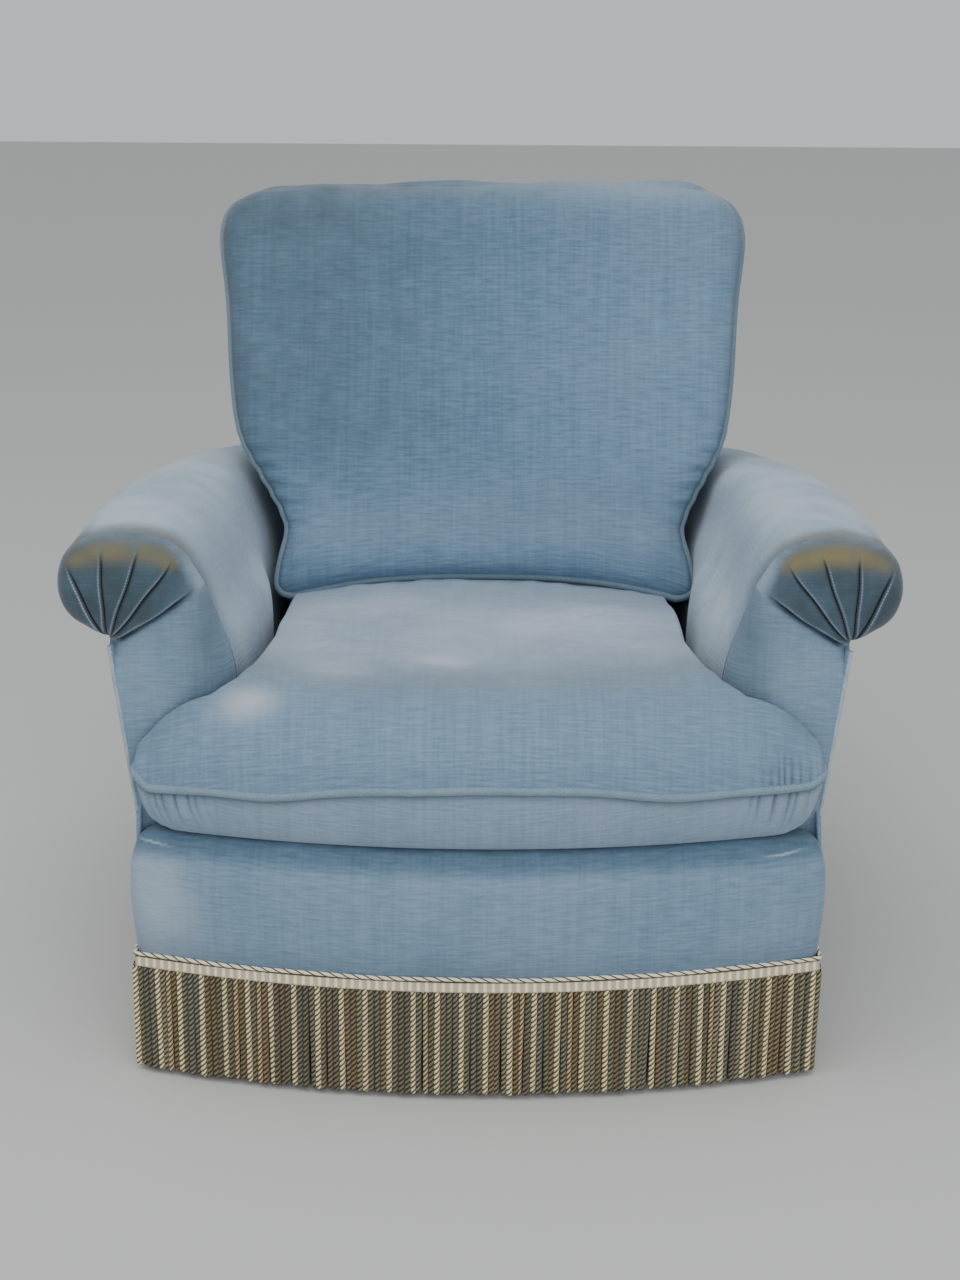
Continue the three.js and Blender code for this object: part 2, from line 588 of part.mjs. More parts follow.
// Back cushion: full at the seat, thinner at the top, notched to drop between the arms.
const cushionFoot = SEAT_REAR_TOP + 1.5;
const backCushionSide = outline([
  [62, cushionFoot], [49, 446], [62, 498], [85, 544], [124, 616], [151, 668], [189, 748],
  [212, 804], [226, 834], [245, 856], [272, 872], [310, HEIGHT], [350, 873], [384, 856],
  [390, 838], [376, 828], [insideBackY(BACK_TOP - 3) - 1, BACK_TOP - 3],
  [insideBackY(cushionFoot) - 1, cushionFoot],
]);
const backCushionHalf = [
  [240, cushionFoot], [253, 442], [250, 466], [243, 493], [250, 514], [266, 538], [291, 577],
  [303, 606], [311, 660], [317, 740], [322, 804], [318, 840], [300, 864], [250, 875],
  [130, HEIGHT],
];
const backWeltHalf = [
  [120, 374, 868], [250, 364, 862], [305, 330, 846], [317, 290, 828], [320, 255, 806],
  [315, 218, 740], [309, 180, 660], [301, 152, 606], [289, 132, 576], [264, 111, 539],
  [249, 98, 514], [242, 88, 494], [249, 74, 468], [250, 65, 450], [238, 60, 438],
  [120, 60, 434],
];
const backLoop = new AlmostClosed([
  ...backWeltHalf.map(([x, y, z]) => new THREE.Vector3(x, y, z)),
  ...backWeltHalf.map(([x, y, z]) => new THREE.Vector3(-x, y, z)).reverse(),
]);
add(covers, 'back_cushion',
  alongX(backCushionSide, -340, 340)
    .intersect(alongY(outline(bothSides(backCushionHalf)), 60, 460))
    .subtract(cordAlong(backLoop, WELT_RADIUS + WELT_CLEAR, WELT_STEPS)),
  VELVET());
add(covers, 'back_welt', cordAlong(backLoop, WELT_RADIUS, WELT_STEPS), PIPING());

// ---------------------------------------------------------------- bullion fringe
const SKIRT_INNER = BASE_HALF + 1.4;
const SKIRT_HALF = SKIRT_INNER + FRINGE_THICK;
const skirtFrontCorner = FRONT + FRINGE_THICK + bowAt(SKIRT_HALF) + GAP;
add(covers, 'front_fringe',
  alongZ(bowedPlan(SKIRT_HALF, 0, FRINGE_THICK), FRINGE_BOTTOM, HEADING_TOP, 14), FRINGE());
const [backSkirtHalf] = drawnIn(SKIRT_HALF, BACK_REAR, HEADING_TOP);
add(covers, 'back_fringe',
  block([-backSkirtHalf, backSkirtHalf], [BACK_REAR + GAP, BACK_REAR + GAP + FRINGE_THICK],
    [FRINGE_BOTTOM, HEADING_TOP]), FRINGE());
for (const [name, side] of SIDES) {
  add(covers, `${name}_fringe`,
    sideBlock(span(side, SKIRT_INNER, SKIRT_HALF), [skirtFrontCorner, BACK_REAR],
      [FRINGE_BOTTOM, HEADING_TOP]), FRINGE());
}

export default chair;
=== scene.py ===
# %% [markdown]
# # An old upholstered easy chair
# Low scroll arms with pleated fronts, a loose T-shaped seat cushion, a loose back cushion
# notched round the arms, and a bullion fringe down to the floor.
# Everything is in metres. +Z is up and the chair faces -Y. The covers are numpy surfaces laid
# over the CAD frame, and the timber, webbing and springs are the CAD pieces themselves.

# %% Imports and the frame
import json
import math

import bmesh
import bpy
import numpy as np
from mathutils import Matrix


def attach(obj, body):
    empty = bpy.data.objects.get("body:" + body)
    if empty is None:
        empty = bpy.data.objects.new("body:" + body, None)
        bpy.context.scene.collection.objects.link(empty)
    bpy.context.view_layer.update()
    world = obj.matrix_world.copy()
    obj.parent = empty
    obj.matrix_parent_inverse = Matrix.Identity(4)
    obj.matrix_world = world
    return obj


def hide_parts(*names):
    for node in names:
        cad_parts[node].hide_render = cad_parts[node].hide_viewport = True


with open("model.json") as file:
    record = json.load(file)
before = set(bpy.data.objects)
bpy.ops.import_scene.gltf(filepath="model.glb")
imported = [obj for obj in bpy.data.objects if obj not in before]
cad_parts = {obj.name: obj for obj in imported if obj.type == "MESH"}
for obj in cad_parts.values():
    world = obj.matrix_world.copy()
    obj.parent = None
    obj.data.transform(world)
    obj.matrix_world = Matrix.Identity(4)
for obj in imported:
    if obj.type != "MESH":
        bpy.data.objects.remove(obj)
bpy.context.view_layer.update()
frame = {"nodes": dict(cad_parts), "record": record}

# %% [markdown]
# ## Sizes shared with the CAD
# The chair narrows and its arms sink towards the back, so one law brings a point of the front
# section in and down by shares that grow along the arm.

# %% Shared sizes
# x is a distance from the middle, for the left and the right alike
BASE_HALF = 0.366  # x of the base cover
BOW = 0.054  # how far the front's corners lie behind its middle
FRONT = -0.440  # y of the front's middle
BASE_TOP = 0.294
COVER_BOTTOM = 0.128
COVER_INSET = 0.008  # the base cover behind the seat cushion's front
ARM_INNER = 0.258  # x of the arm beside the seat
ARM_FRONT = -0.347  # y of the arm's front
ARM_LENGTH = 0.735
ARM_NARROWS = 0.087
ARM_SINKS = 0.084
SCROLL_OUTER = 0.433  # x of the scroll's widest point
ARM_TOP = 0.600
PINCH = np.array([0.388, 0.4840])  # x and z where the pleats meet
BACK_REAR = 0.352  # y of the outside back up to its kink, where it starts to lean
BACK_KINK = 0.300
BACK_LEAN = 0.088 / 0.515
PRESSED_IN = 0.0150  # how far the arms' stuffing bulges over the seat
WELT_Z = 0.3600  # height of the seat cushion's seam
WELT_RADIUS = 0.0044
SIDES = (("left", -1), ("right", 1))


def smooth(t):
    """A soft step from 0 to 1: 3t squared less 2t cubed, with t held between 0 and 1."""
    t = np.clip(t, 0, 1)
    return t * t * (3 - 2 * t)


def quarter(t):
    """The rise of a quarter circle: steep at 0, level from 1 on."""
    return np.sqrt(1 - (1 - np.clip(t, 0, 1)) ** 2)


def hump(t):
    """A bell, 1 at 0 and about a third at 1."""
    return np.exp(-np.square(t))


def bow_at(x):
    """How far the front has fallen back at x: BOW times the square of x over the half width."""
    return BOW * (x / BASE_HALF) ** 2


def outside_back_y(z):
    return BACK_REAR + BACK_LEAN * np.maximum(0, z - BACK_KINK)


def drawn_in(x, y, z):
    """Front-section x and z at depth y: what lies beyond the inner face narrows with the share
    along the arm to the power 2.7, and what stands above the base sinks with its power 1.7."""
    along = np.clip((y - ARM_FRONT) / ARM_LENGTH, 0, 1)
    narrow = ARM_NARROWS / (SCROLL_OUTER - ARM_INNER) * along**2.7
    sink = ARM_SINKS / (ARM_TOP - BASE_TOP) * along**1.7
    beyond = np.maximum(0, np.abs(x) - ARM_INNER)
    over = np.maximum(0, z - BASE_TOP)
    return np.sign(x) * (np.abs(x) - beyond * narrow), z - over * sink


# %% [markdown]
# ## Building surfaces
# A surface is a grid of points. Helpers respace a curve by its length, find the distance to a
# line, push a grid along its own normals, and turn grids into welded meshes that carry a cloth
# UV map in metres and a wear colour: red is fade and painted highlight, green is dirt and painted
# shade, blue is stain, alpha is painted shade in creases, seams and fold valleys.


# %% Curves and grids
def respaced(line, at):
    """The line at these shares, from 0 to 1, of its length."""
    step = np.linalg.norm(np.diff(line, axis=0), axis=1)
    length = np.concatenate([[0], np.cumsum(step)])
    return np.stack([np.interp(at, length / length[-1], column) for column in line.T], axis=1)


def length_of(line):
    return float(np.linalg.norm(np.diff(line, axis=0), axis=1).sum())


def curve_through(points, count):
    """Evenly spaced points on the Catmull-Rom curve through the given ones."""
    p = np.asarray(points, float)
    ends = np.vstack([2 * p[0] - p[1], p, 2 * p[-1] - p[-2]])
    t = np.linspace(0, len(p) - 1, 30 * (len(p) - 1) + 1)[:-1]
    i = t.astype(int)
    f = (t - i)[:, None]
    a, b, c, d = ends[i], ends[i + 1], ends[i + 2], ends[i + 3]
    square = 2 * a - 5 * b + 4 * c - d
    cube = 3 * b - a - 3 * c + d
    fine = 0.5 * (2 * b + (c - a) * f + square * f**2 + cube * f**3)
    return respaced(np.vstack([fine, p[-1]]), np.linspace(0, 1, count))


def rounded(corners, steps=8):
    """A closed line whose corners (x, y, r) are cut off at r and rounded by a parabola."""
    p = np.array([corner[:2] for corner in corners])
    r = np.array([corner[2] for corner in corners])[:, None]
    into = np.roll(p, 1, axis=0) - p
    out = np.roll(p, -1, axis=0) - p
    into = p + into / np.linalg.norm(into, axis=1, keepdims=True) * r
    out = p + out / np.linalg.norm(out, axis=1, keepdims=True) * r
    t = np.linspace(0, 1, steps)[None, :, None]
    arcs = into[:, None] * (1 - t) ** 2 + p[:, None] * 2 * t * (1 - t) + out[:, None] * t**2
    line = arcs.reshape(-1, 2)
    return np.vstack([line, line[:1]])


def right_of(line):
    """Unit vectors to the right of a line, seen from above."""
    ahead = np.gradient(line, axis=0)
    ahead /= np.linalg.norm(ahead, axis=1, keepdims=True)
    return np.stack([ahead[:, 1], -ahead[:, 0]], axis=1)


def distance_to(line, x, y):
    """Shortest distance from each point to a line of straight pieces."""
    a, b = line[:-1], line[1:]
    point = np.stack([x, y], axis=-1)[..., None, :]
    piece = b - a
    along = np.sum((point - a) * piece, axis=-1) / np.sum(piece**2, axis=-1).clip(1e-12)
    nearest = a + np.clip(along, 0, 1)[..., None] * piece
    return np.linalg.norm(point - nearest, axis=-1).min(axis=-1)


def ripple(a, b, size, seed, count=7):
    """Soft unevenness from -1 to 1: a sum of plane waves of about this size, in any direction."""
    rng = np.random.default_rng(seed)
    turn = rng.uniform(0, 2 * math.pi, count)
    wave = 2 * math.pi / (size * rng.uniform(0.6, 1.6, count))
    phase = rng.uniform(0, 2 * math.pi, count)
    total = sum(np.sin(w * (np.cos(t) * a + np.sin(t) * b) + p) for w, t, p in zip(wave, turn, phase))
    return total / math.sqrt(count)


def normals_of(grid, wrap=False):
    """Unit normals of a grid: its two directions crossed."""
    padded = np.concatenate([grid[:, -2:-1], grid, grid[:, 1:2]], axis=1) if wrap else grid
    down = np.gradient(padded, axis=0)
    across = np.gradient(padded, axis=1)
    normal = np.cross(across, down)
    normal = normal[:, 1:-1] if wrap else normal
    return normal / np.linalg.norm(normal, axis=2, keepdims=True).clip(1e-12)


def normals_towards(grid, axis, side, wrap=False):
    """Unit normals of a grid, each turned to this side, 1 or -1, of the axis."""
    normal = normals_of(grid, wrap)
    return normal * side * np.sign(normal[..., axis : axis + 1] + 1e-9)


def grid_faces(rows, columns, start=0):
    """Corner numbers of the squares between the points of a grid."""
    corner = start + np.arange(rows * columns).reshape(rows, columns)
    faces = np.stack([corner[:-1, :-1], corner[:-1, 1:], corner[1:, 1:], corner[1:, :-1]], axis=-1)
    return faces.reshape(-1, 4)


# %% Meshes from grids
def add_layers(mesh, corner_cloth, wear):
    """The cloth coordinates of every face corner and the wear colour of every point."""
    uv = mesh.uv_layers.new(name="cloth").data
    uv.foreach_set("uv", corner_cloth.astype(np.float32).ravel())
    colour = mesh.color_attributes.new(name="wear", type="FLOAT_COLOR", domain="POINT").data
    colour.foreach_set("color", wear.clip(0, 1).astype(np.float32).ravel())


def soften(mesh, material):
    """Smooth shading, and this material alone."""
    mesh.materials.clear()
    mesh.materials.append(material)
    mesh.polygons.foreach_set("use_smooth", np.ones(len(mesh.polygons), dtype=bool))


def mesh_of(name, parts, material, weld=1e-5):
    """One object from parts (grid, cloth coordinates, wear), welded where grids meet, faces outward."""
    points, cloth, wear, faces = [], [], [], []
    start = 0
    for grid, cloth_uv, worn in parts:
        rows, columns = grid.shape[:2]
        points.append(grid.reshape(-1, 3))
        cloth.append(np.broadcast_to(cloth_uv, (rows, columns, 2)).reshape(-1, 2))
        wear.append(np.broadcast_to(worn, (rows, columns, 4)).reshape(-1, 4))
        faces.append(grid_faces(rows, columns, start))
        start += rows * columns
    points, cloth, wear, faces = map(np.concatenate, (points, cloth, wear, faces))
    mesh = bpy.data.meshes.new(name)
    mesh.vertices.add(len(points))
    mesh.vertices.foreach_set("co", points.astype(np.float32).ravel())
    mesh.loops.add(faces.size)
    mesh.loops.foreach_set("vertex_index", faces.astype(np.int32).ravel())
    mesh.polygons.add(len(faces))
    mesh.polygons.foreach_set("loop_start", np.arange(0, faces.size, 4, dtype=np.int32))
    mesh.polygons.foreach_set("loop_total", np.full(len(faces), 4, dtype=np.int32))
    mesh.update(calc_edges=True)
    add_layers(mesh, cloth[faces.ravel()], wear)
    whole = bmesh.new()
    whole.from_mesh(mesh)
    bmesh.ops.remove_doubles(whole, verts=whole.verts, dist=weld)
    bmesh.ops.dissolve_degenerate(whole, dist=weld, edges=whole.edges)
    bmesh.ops.recalc_face_normals(whole, faces=whole.faces)
    whole.to_mesh(mesh)
    whole.free()
    soften(mesh, material)
    made = bpy.data.objects.new(name, mesh)
    bpy.context.scene.collection.objects.link(made)
    print(f"{name}: {len(mesh.polygons)} faces")
    return made


def slab(grid, thick, cloth_uv, worn):
    """The parts of a closed sheet: the grid, the same grid set back, and the four edges between."""
    back = grid - normals_of(grid) * thick
    cloth_uv = np.broadcast_to(cloth_uv, grid.shape[:2] + (2,))
    worn = np.broadcast_to(worn, grid.shape[:2] + (4,))
    parts = [(grid, cloth_uv, worn), (back, cloth_uv, worn)]
    for edge in (np.s_[:1], np.s_[-1:], np.s_[:, :1], np.s_[:, -1:]):
        join = 1 if grid[edge].shape[1] == 1 else 0
        parts.append(tuple(
            np.concatenate([one[edge], other[edge]], axis=join)
            for one, other in ((grid, back), (cloth_uv, cloth_uv), (worn, worn))))
    return parts


def tube(path, radius, up, sides=8, closed=False):
    """Rings round a path and their cloth coordinates: turns round it, metres along it."""
    if closed:
        ahead = np.roll(path, -1, axis=0) - np.roll(path, 1, axis=0)
    else:
        ahead = np.gradient(path, axis=0)
    ahead /= np.linalg.norm(ahead, axis=1, keepdims=True)
    out = np.cross(ahead, up)
    out /= np.linalg.norm(out, axis=1, keepdims=True)
    over = np.cross(out, ahead)
    turn = np.linspace(0, 2 * math.pi, sides + 1)[None, :, None]
    size = np.broadcast_to(radius, len(path))[:, None, None]
    rings = path[:, None] + size * (np.cos(turn) * out[:, None] + np.sin(turn) * over[:, None])
    step = np.linalg.norm(np.diff(path, axis=0), axis=1)
    length = np.concatenate([[0], np.cumsum(step)])
    if closed:
        rings = np.concatenate([rings, rings[:1]])
        length = np.append(length, length[-1] + np.linalg.norm(path[0] - path[-1]))
    share = np.linspace(0, 1, sides + 1)
    return rings, np.stack(np.broadcast_arrays(share[None], length[:, None]), axis=-1)


def wear_and_shade_of(shape, fade_and_highlight=0, dirt_and_shade=0, stained=0, painted_crease_shade=0):
    """Four values, for wear and for painted highlight and shade, stacked to one colour per point."""
    values = (fade_and_highlight, dirt_and_shade, stained, painted_crease_shade)
    return np.stack([np.broadcast_to(value, shape) for value in values], axis=-1)


# %% [markdown]
# ## Materials
# Colours are sRGB hex values turned to linear light. Velvet is one recipe: the pile's colour is
# broken by slubs across the cloth and streaks along the nap, then paled by fade and painted
# highlight, darkened by dirt and painted shade, stained, and darkened to near-black by painted
# shade in creases, all by the wear colour, and a little sheen lifts it where it turns away.


# %% Shader helpers
def linear(hex_colour):
    """An sRGB hex colour as linear red, green, blue and 1."""
    value = np.array([int(hex_colour[i : i + 2], 16) for i in (1, 3, 5)]) / 255
    flat = np.where(value <= 0.04045, value / 12.92, ((value + 0.055) / 1.055) ** 2.4)
    return (*map(float, flat), 1.0)


def shade(tree, kind, inputs=None, **settings):
    """Adds a node, makes its settings, and fills its inputs: a socket is linked, a value is set."""
    made = tree.nodes.new(kind)
    for key, value in settings.items():
        setattr(made, key, value)
    for key, value in (inputs or {}).items():
        if isinstance(value, bpy.types.NodeSocket):
            tree.links.new(value, made.inputs[key])
        else:
            made.inputs[key].default_value = value
    return made


def calc(tree, operation, a, b=0.0, clamp=False):
    return shade(tree, "ShaderNodeMath", {0: a, 1: b}, operation=operation, use_clamp=clamp).outputs[0]


def scaled(tree, value, by, plus=0.0):
    return calc(tree, "ADD", calc(tree, "MULTIPLY", value, by), plus)


def mixed(tree, factor, a, b):
    return shade(tree, "ShaderNodeMix", {0: factor, 6: a, 7: b}, data_type="RGBA").outputs[2]


def stretched(tree, vector, scale):
    return shade(tree, "ShaderNodeMapping", {"Vector": vector, "Scale": scale}).outputs["Vector"]


def noise(tree, vector, scale=1.0, detail=2.0, roughness=0.5):
    inputs = {"Vector": vector, "Scale": scale, "Detail": detail, "Roughness": roughness}
    return shade(tree, "ShaderNodeTexNoise", inputs).outputs[0]


def between(tree, value, low, high):
    """value stretched so that low becomes 0 and high becomes 1, softly."""
    inputs = {"Value": value, "From Min": low, "From Max": high}
    return shade(tree, "ShaderNodeMapRange", inputs, interpolation_type="SMOOTHSTEP").outputs[0]


def bumped(tree, height, distance, strength, before=None):
    """Relief of this height in metres, over the relief before it."""
    inputs = {"Height": height, "Distance": distance, "Strength": strength}
    if before is not None:
        inputs["Normal"] = before
    return shade(tree, "ShaderNodeBump", inputs).outputs[0]


def place_of(tree):
    return shade(tree, "ShaderNodeTexCoord").outputs["Object"]


def cloth_of(tree):
    return shade(tree, "ShaderNodeUVMap", uv_map="cloth").outputs[0]


def wear_and_shade_at(tree):
    """The wear colour, which also carries painted highlight and shade: its red, green, blue and alpha,
    and the colour as a whole.
    """
    worn = shade(tree, "ShaderNodeAttribute", attribute_name="wear").outputs
    parts = shade(tree, "ShaderNodeSeparateColor", {0: worn["Color"]}).outputs
    return (*parts, worn["Alpha"], worn["Color"])


def new_material(name, **constants):
    """An empty material and its tree; constants are set on the surface shader."""
    material = bpy.data.materials.new(name)
    material.use_nodes = True
    tree = material.node_tree
    surface = next(node for node in tree.nodes if node.type == "BSDF_PRINCIPLED")
    for key, value in constants.items():
        surface.inputs[key.replace("_", " ").title().replace("Ior", "IOR")].default_value = value
    return material, tree, surface


def dress(tree, surface, colour, relief):
    """Gives the surface shader its colour and its relief."""
    tree.links.new(colour, surface.inputs["Base Color"])
    tree.links.new(relief, surface.inputs["Normal"])


# %% Velvet
def velvet(name, pile, shadow, fade_and_highlight, dirt_and_shade, stained):
    """Cut-pile velvet on a slubbed ground. It gives the eye a matt blue with fine broken lines
    across it, chalky where it is rubbed and where highlight is painted, dull where it is greasy and
    where shade is painted, near-black where shade is painted in creases, and ochre where it is stained."""
    material, tree, surface = new_material(
        name, roughness=0.88, sheen_weight=0.22, sheen_roughness=0.45, specular_ior_level=0.12)
    place = place_of(tree)
    cloth = cloth_of(tree)
    red, green, blue, alpha, _ = wear_and_shade_at(tree)
    slub = noise(tree, stretched(tree, cloth, (38, 330, 1)), detail=1.5)
    streak = noise(tree, stretched(tree, cloth, (190, 7, 1)), detail=2)
    mottle = noise(tree, place, scale=7, detail=5, roughness=0.6)
    patch = noise(tree, place, scale=23, detail=4, roughness=0.65)
    pile_grain = noise(tree, place, scale=750, detail=2, roughness=0.7)
    ground = calc(tree, "ADD", scaled(tree, slub, 0.65), scaled(tree, streak, 0.35))
    ground = calc(tree, "ADD", ground, scaled(tree, pile_grain, 0.5, -0.25))
    colour = mixed(tree, between(tree, ground, 0.26, 0.74), shadow, pile)
    fade_and_highlight_patches = scaled(tree, between(tree, mottle, 0.28, 0.72), 0.7, 0.55)
    dirt_and_shade_patches = scaled(tree, patch, 0.9, 0.5)
    staining = scaled(tree, between(tree, patch, 0.3, 0.6), 0.5, 0.5)
    layers = ((red, fade_and_highlight_patches, fade_and_highlight), (green, dirt_and_shade_patches, dirt_and_shade), (blue, staining, stained))
    for amount, broken, tone in layers:
        colour = mixed(tree, calc(tree, "MULTIPLY", amount, broken, True), colour, tone)
    # painted shade: the alpha amount takes the velvet towards near-black in creases, seams and fold
    # valleys
    colour = mixed(tree, alpha, colour, linear("#141b20"))
    relief = bumped(tree, slub, 0.0011, 0.6)
    dress(tree, surface, colour, bumped(tree, pile_grain, 0.00035, 0.5, relief))
    return material


# the last three colours of each velvet: pale for fade and painted highlight, dark for dirt and painted
# shade, ochre for stains
BLUE_VELVET = velvet(
    "blue slubbed velvet", linear("#728ea6"), linear("#56738b"), linear("#abbac3"),
    linear("#414f56"), linear("#766d50"))
SEAT_VELVET = velvet(
    "seat velvet, rubbed grey", linear("#7d96ab"), linear("#667f94"), linear("#bcc3cc"),
    linear("#5a6c70"), linear("#6e6850"))


# %% Piping, fringe, timber and the rest
def piping_material():
    """Velvet cut on the bias round a cord: fine slanting threads, rubbed pale in patches."""
    material, tree, surface = new_material(
        "piping, bias velvet over cord", roughness=0.85, sheen_weight=0.2, specular_ior_level=0.12)
    red, green, _, _, _ = wear_and_shade_at(tree)
    thread = noise(tree, stretched(tree, cloth_of(tree), (14, 900, 1)), detail=1)
    rub = noise(tree, place_of(tree), scale=60, detail=4)
    colour = mixed(tree, between(tree, thread, 0.3, 0.7), linear("#5f7887"), linear("#7f98a6"))
    colour = mixed(tree, calc(tree, "MULTIPLY", red, rub, True), colour, linear("#c5d0d2"))
    colour = mixed(tree, green, colour, linear("#33454f"))
    dress(tree, surface, colour, bumped(tree, thread, 0.0005, 0.5))
    return material


def twisted_material(name, plies, pitch, dark_share, groove_shade_width):
    """A twisted cord: slanting silky plies coloured by the wear colour, with shade painted near-black
    in the grooves between them. The first dark_share of each ply is a dark strand."""
    material, tree, surface = new_material(
        name, roughness=0.62, specular_ior_level=0.25, sheen_weight=0.1)
    round_it, along_it, _ = shade(tree, "ShaderNodeSeparateXYZ", {0: cloth_of(tree)}).outputs
    turns = calc(tree, "ADD", scaled(tree, round_it, plies), calc(tree, "DIVIDE", along_it, pitch))
    share = calc(tree, "FRACT", turns)
    ridge = calc(tree, "SINE", calc(tree, "MULTIPLY", share, math.pi))
    strand = calc(tree, "LESS_THAN", share, dark_share)
    colour = mixed(tree, calc(tree, "MULTIPLY", strand, 0.9), wear_and_shade_at(tree)[-1], linear("#35342b"))
    # painted shade: the grooves between the plies taken to near-black
    groove_shade = between(tree, ridge, 0.4 * groove_shade_width, groove_shade_width)
    colour = mixed(tree, groove_shade, mixed(tree, 0.90, colour, linear("#14120b")), colour)
    dress(tree, surface, colour, bumped(tree, ridge, 0.0012, 0.8))
    return material


def ladder_material():
    """The woven heading of the fringe: pale ribs on a beige ground, dark above and cream below."""
    material, tree, surface = new_material(
        "fringe heading, woven", roughness=0.75, specular_ior_level=0.2)
    along_it, up_it, _ = shade(tree, "ShaderNodeSeparateXYZ", {0: cloth_of(tree)}).outputs
    share = calc(tree, "FRACT", calc(tree, "DIVIDE", along_it, 0.0088))
    rib = between(tree, calc(tree, "SINE", calc(tree, "MULTIPLY", share, math.pi)), 0.55, 0.97)
    colour = mixed(tree, rib, linear("#c2b497"), linear("#f6ebcb"))
    colour = mixed(tree, between(tree, up_it, 0.20, 0.06), colour, linear("#efe3bf"))
    colour = mixed(tree, between(tree, up_it, 0.72, 0.80), colour, linear("#4a4636"))
    dress(tree, surface, colour, bumped(tree, rib, 0.0009, 0.9))
    return material


def wood_material(name, light, dark, rough):
    """Straight-grained timber: fine lines along the rail between two browns."""
    material, tree, surface = new_material(name, roughness=rough)
    grain = noise(tree, stretched(tree, place_of(tree), (9, 160, 160)), detail=4)
    colour = mixed(tree, between(tree, grain, 0.3, 0.7), dark, light)
    dress(tree, surface, colour, bumped(tree, grain, 0.0004, 0.4))
    return material


def woven_material(name, light, dark, scale):
    """Plain weave: two crossed waves between two tones, with dirt in soft patches."""
    material, tree, surface = new_material(name, roughness=0.92, specular_ior_level=0.1)
    place = place_of(tree)
    inputs = {"Vector": place, "Scale": scale}
    warp, weft = (
        shade(tree, "ShaderNodeTexWave", inputs, bands_direction=way).outputs[1] for way in "XY")
    cross = calc(tree, "MAXIMUM", warp, weft)
    dirt = between(tree, noise(tree, place, scale=12, detail=4), 0.45, 0.8)
    colour = mixed(tree, dirt, mixed(tree, cross, dark, light), dark)
    dress(tree, surface, colour, bumped(tree, cross, 0.0006, 0.5))
    return material


def steel_material():
    """Drawn spring wire: grey metal, dulled by patches of brown rust."""
    material, tree, surface = new_material("spring wire, drawn steel", metallic=1.0)
    rust = between(tree, noise(tree, place_of(tree), scale=60, detail=5), 0.5, 0.7)
    colour = mixed(tree, rust, linear("#8d9093"), linear("#5b3c29"))
    tree.links.new(colour, surface.inputs["Base Color"])
    tree.links.new(scaled(tree, rust, 0.4, 0.35), surface.inputs["Roughness"])
    return material


PIPING = piping_material()
CORD = twisted_material("bullion cord, twisted rayon", -3.0, 0.0062, 0.0, 0.95)
HEADING_CORD = twisted_material("heading cord, two-tone twist", 2.0, 0.0124, 0.20, 0.35)
LADDER = ladder_material()
CAD_MATERIALS = {
    "beech": wood_material("beech, planed", linear("#c39a68"), linear("#a67a4a"), 0.6),
    "stained_wood": wood_material(
        "beech, dark stain and varnish", linear("#5a3a24"), linear("#3a2416"), 0.4),
    "jute": woven_material("jute webbing", linear("#b39a6f"), linear("#7d6842"), 260),
    "spring_steel": steel_material(),
    "deck_cloth": woven_material(
        "platform cloth, cotton", linear("#6f7f8c"), linear("#4f5d69"), 400),
    "black_lining": woven_material(
        "black lining, cambric", linear("#2c2c2f"), linear("#18181a"), 500),
}
slot_of = {row["node"]: row["material_slot"] for row in frame["record"]["subparts"]}
for node_name, node in frame["nodes"].items():
    if slot_of[node_name] in CAD_MATERIALS:
        node.data.materials.clear()
        node.data.materials.append(CAD_MATERIALS[slot_of[node_name]])
print(len(CAD_MATERIALS), "materials for the CAD pieces")


def belongs(piece, slot_name, *nodes, fill=None):
    """The piece rides on the chair and stands for these CAD nodes, which are hidden; slot_name is not
    used.
    """
    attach(piece, "root")
    if nodes:
        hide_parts(*nodes)
    return piece


# %% [markdown]
# ## Arms
# The cover runs over the arm from front to back, rolls round the front edge of the scroll, and
# is drawn in five knife pleats to one point on the outer edge. Below the pleats the front is a
# flat panel. Front and arm are one surface: rays from the pinch out to the rim, then lengths
# along the arm.

# %% The arm's front section
# x and z from the inner foot, up beside the seat, over the scroll and down to the pinch
SCROLL = [
    [0.258, 0.270], [0.258, 0.350], [0.2582, 0.430], [0.266, 0.480], [0.280, 0.530], [0.297, 0.567],
    [0.320, 0.591], [0.352, 0.600], [0.385, 0.600], [0.413, 0.592], [0.431, 0.576], [0.4385, 0.551],
    [0.4360, 0.526], [0.4265, 0.5090], [0.409, 0.4960], [0.388, 0.4840],
]
# where each pleat runs out, innermost first
PLEATS = np.array([
    [0.2975, 0.5435], [0.3162, 0.575], [0.350, 0.587], [0.3893, 0.5875], [0.4255, 0.571]])
PLEAT_STEP = 0.0014
# how stained each arm is, and how pale the inside of each arm is, by its side: rubbed pale, and on the
# right also a painted highlight where the sky lights it
STAIN = {-1: 0.8, 1: 1.0}
RUBBED_AND_LIT = {-1: 0.55, 1: 1.05}
rim = curve_through(SCROLL, 900)


def bearing(x, z):
    """Angle round the pinch, from straight down, growing inwards, over the top and outwards."""
    return (-math.pi / 2 - np.arctan2(z - PINCH[1], x - PINCH[0])) % (2 * math.pi)


rim_bearing = bearing(rim[:-1, 0], rim[:-1, 1])
pleat_bearing = bearing(PLEATS[:, 0], PLEATS[:, 1])
pleat_length = np.linalg.norm(PLEATS - PINCH, axis=1)
pleat_share = np.interp(pleat_bearing, rim_bearing, np.linspace(0, 1, len(rim))[:-1])
one_side = np.array([0.5, 1.1, 1.8, 2.6, 3.8, 5.5, 8, 12]) * PLEAT_STEP
near_pleat = np.concatenate([-one_side[::-1], [0], one_side])
at_pleats = (pleat_share[:, None] + near_pleat).ravel()
shares = np.concatenate([np.linspace(0, 1, 110), at_pleats]).clip(0, 1)
shares = np.unique(np.round(shares * 1800)) / 1800
section = respaced(rim, shares)
section_length = shares * length_of(rim)
print("pleats at", np.round(np.degrees(pleat_bearing)), "degrees;", len(section), "columns")


# %% The pleated front
def edge_roll(z):
    """Radius of the front edge: fuller beside the seat than round the scroll."""
    return 0.041 - 0.019 * smooth((z - 0.44) / 0.1)


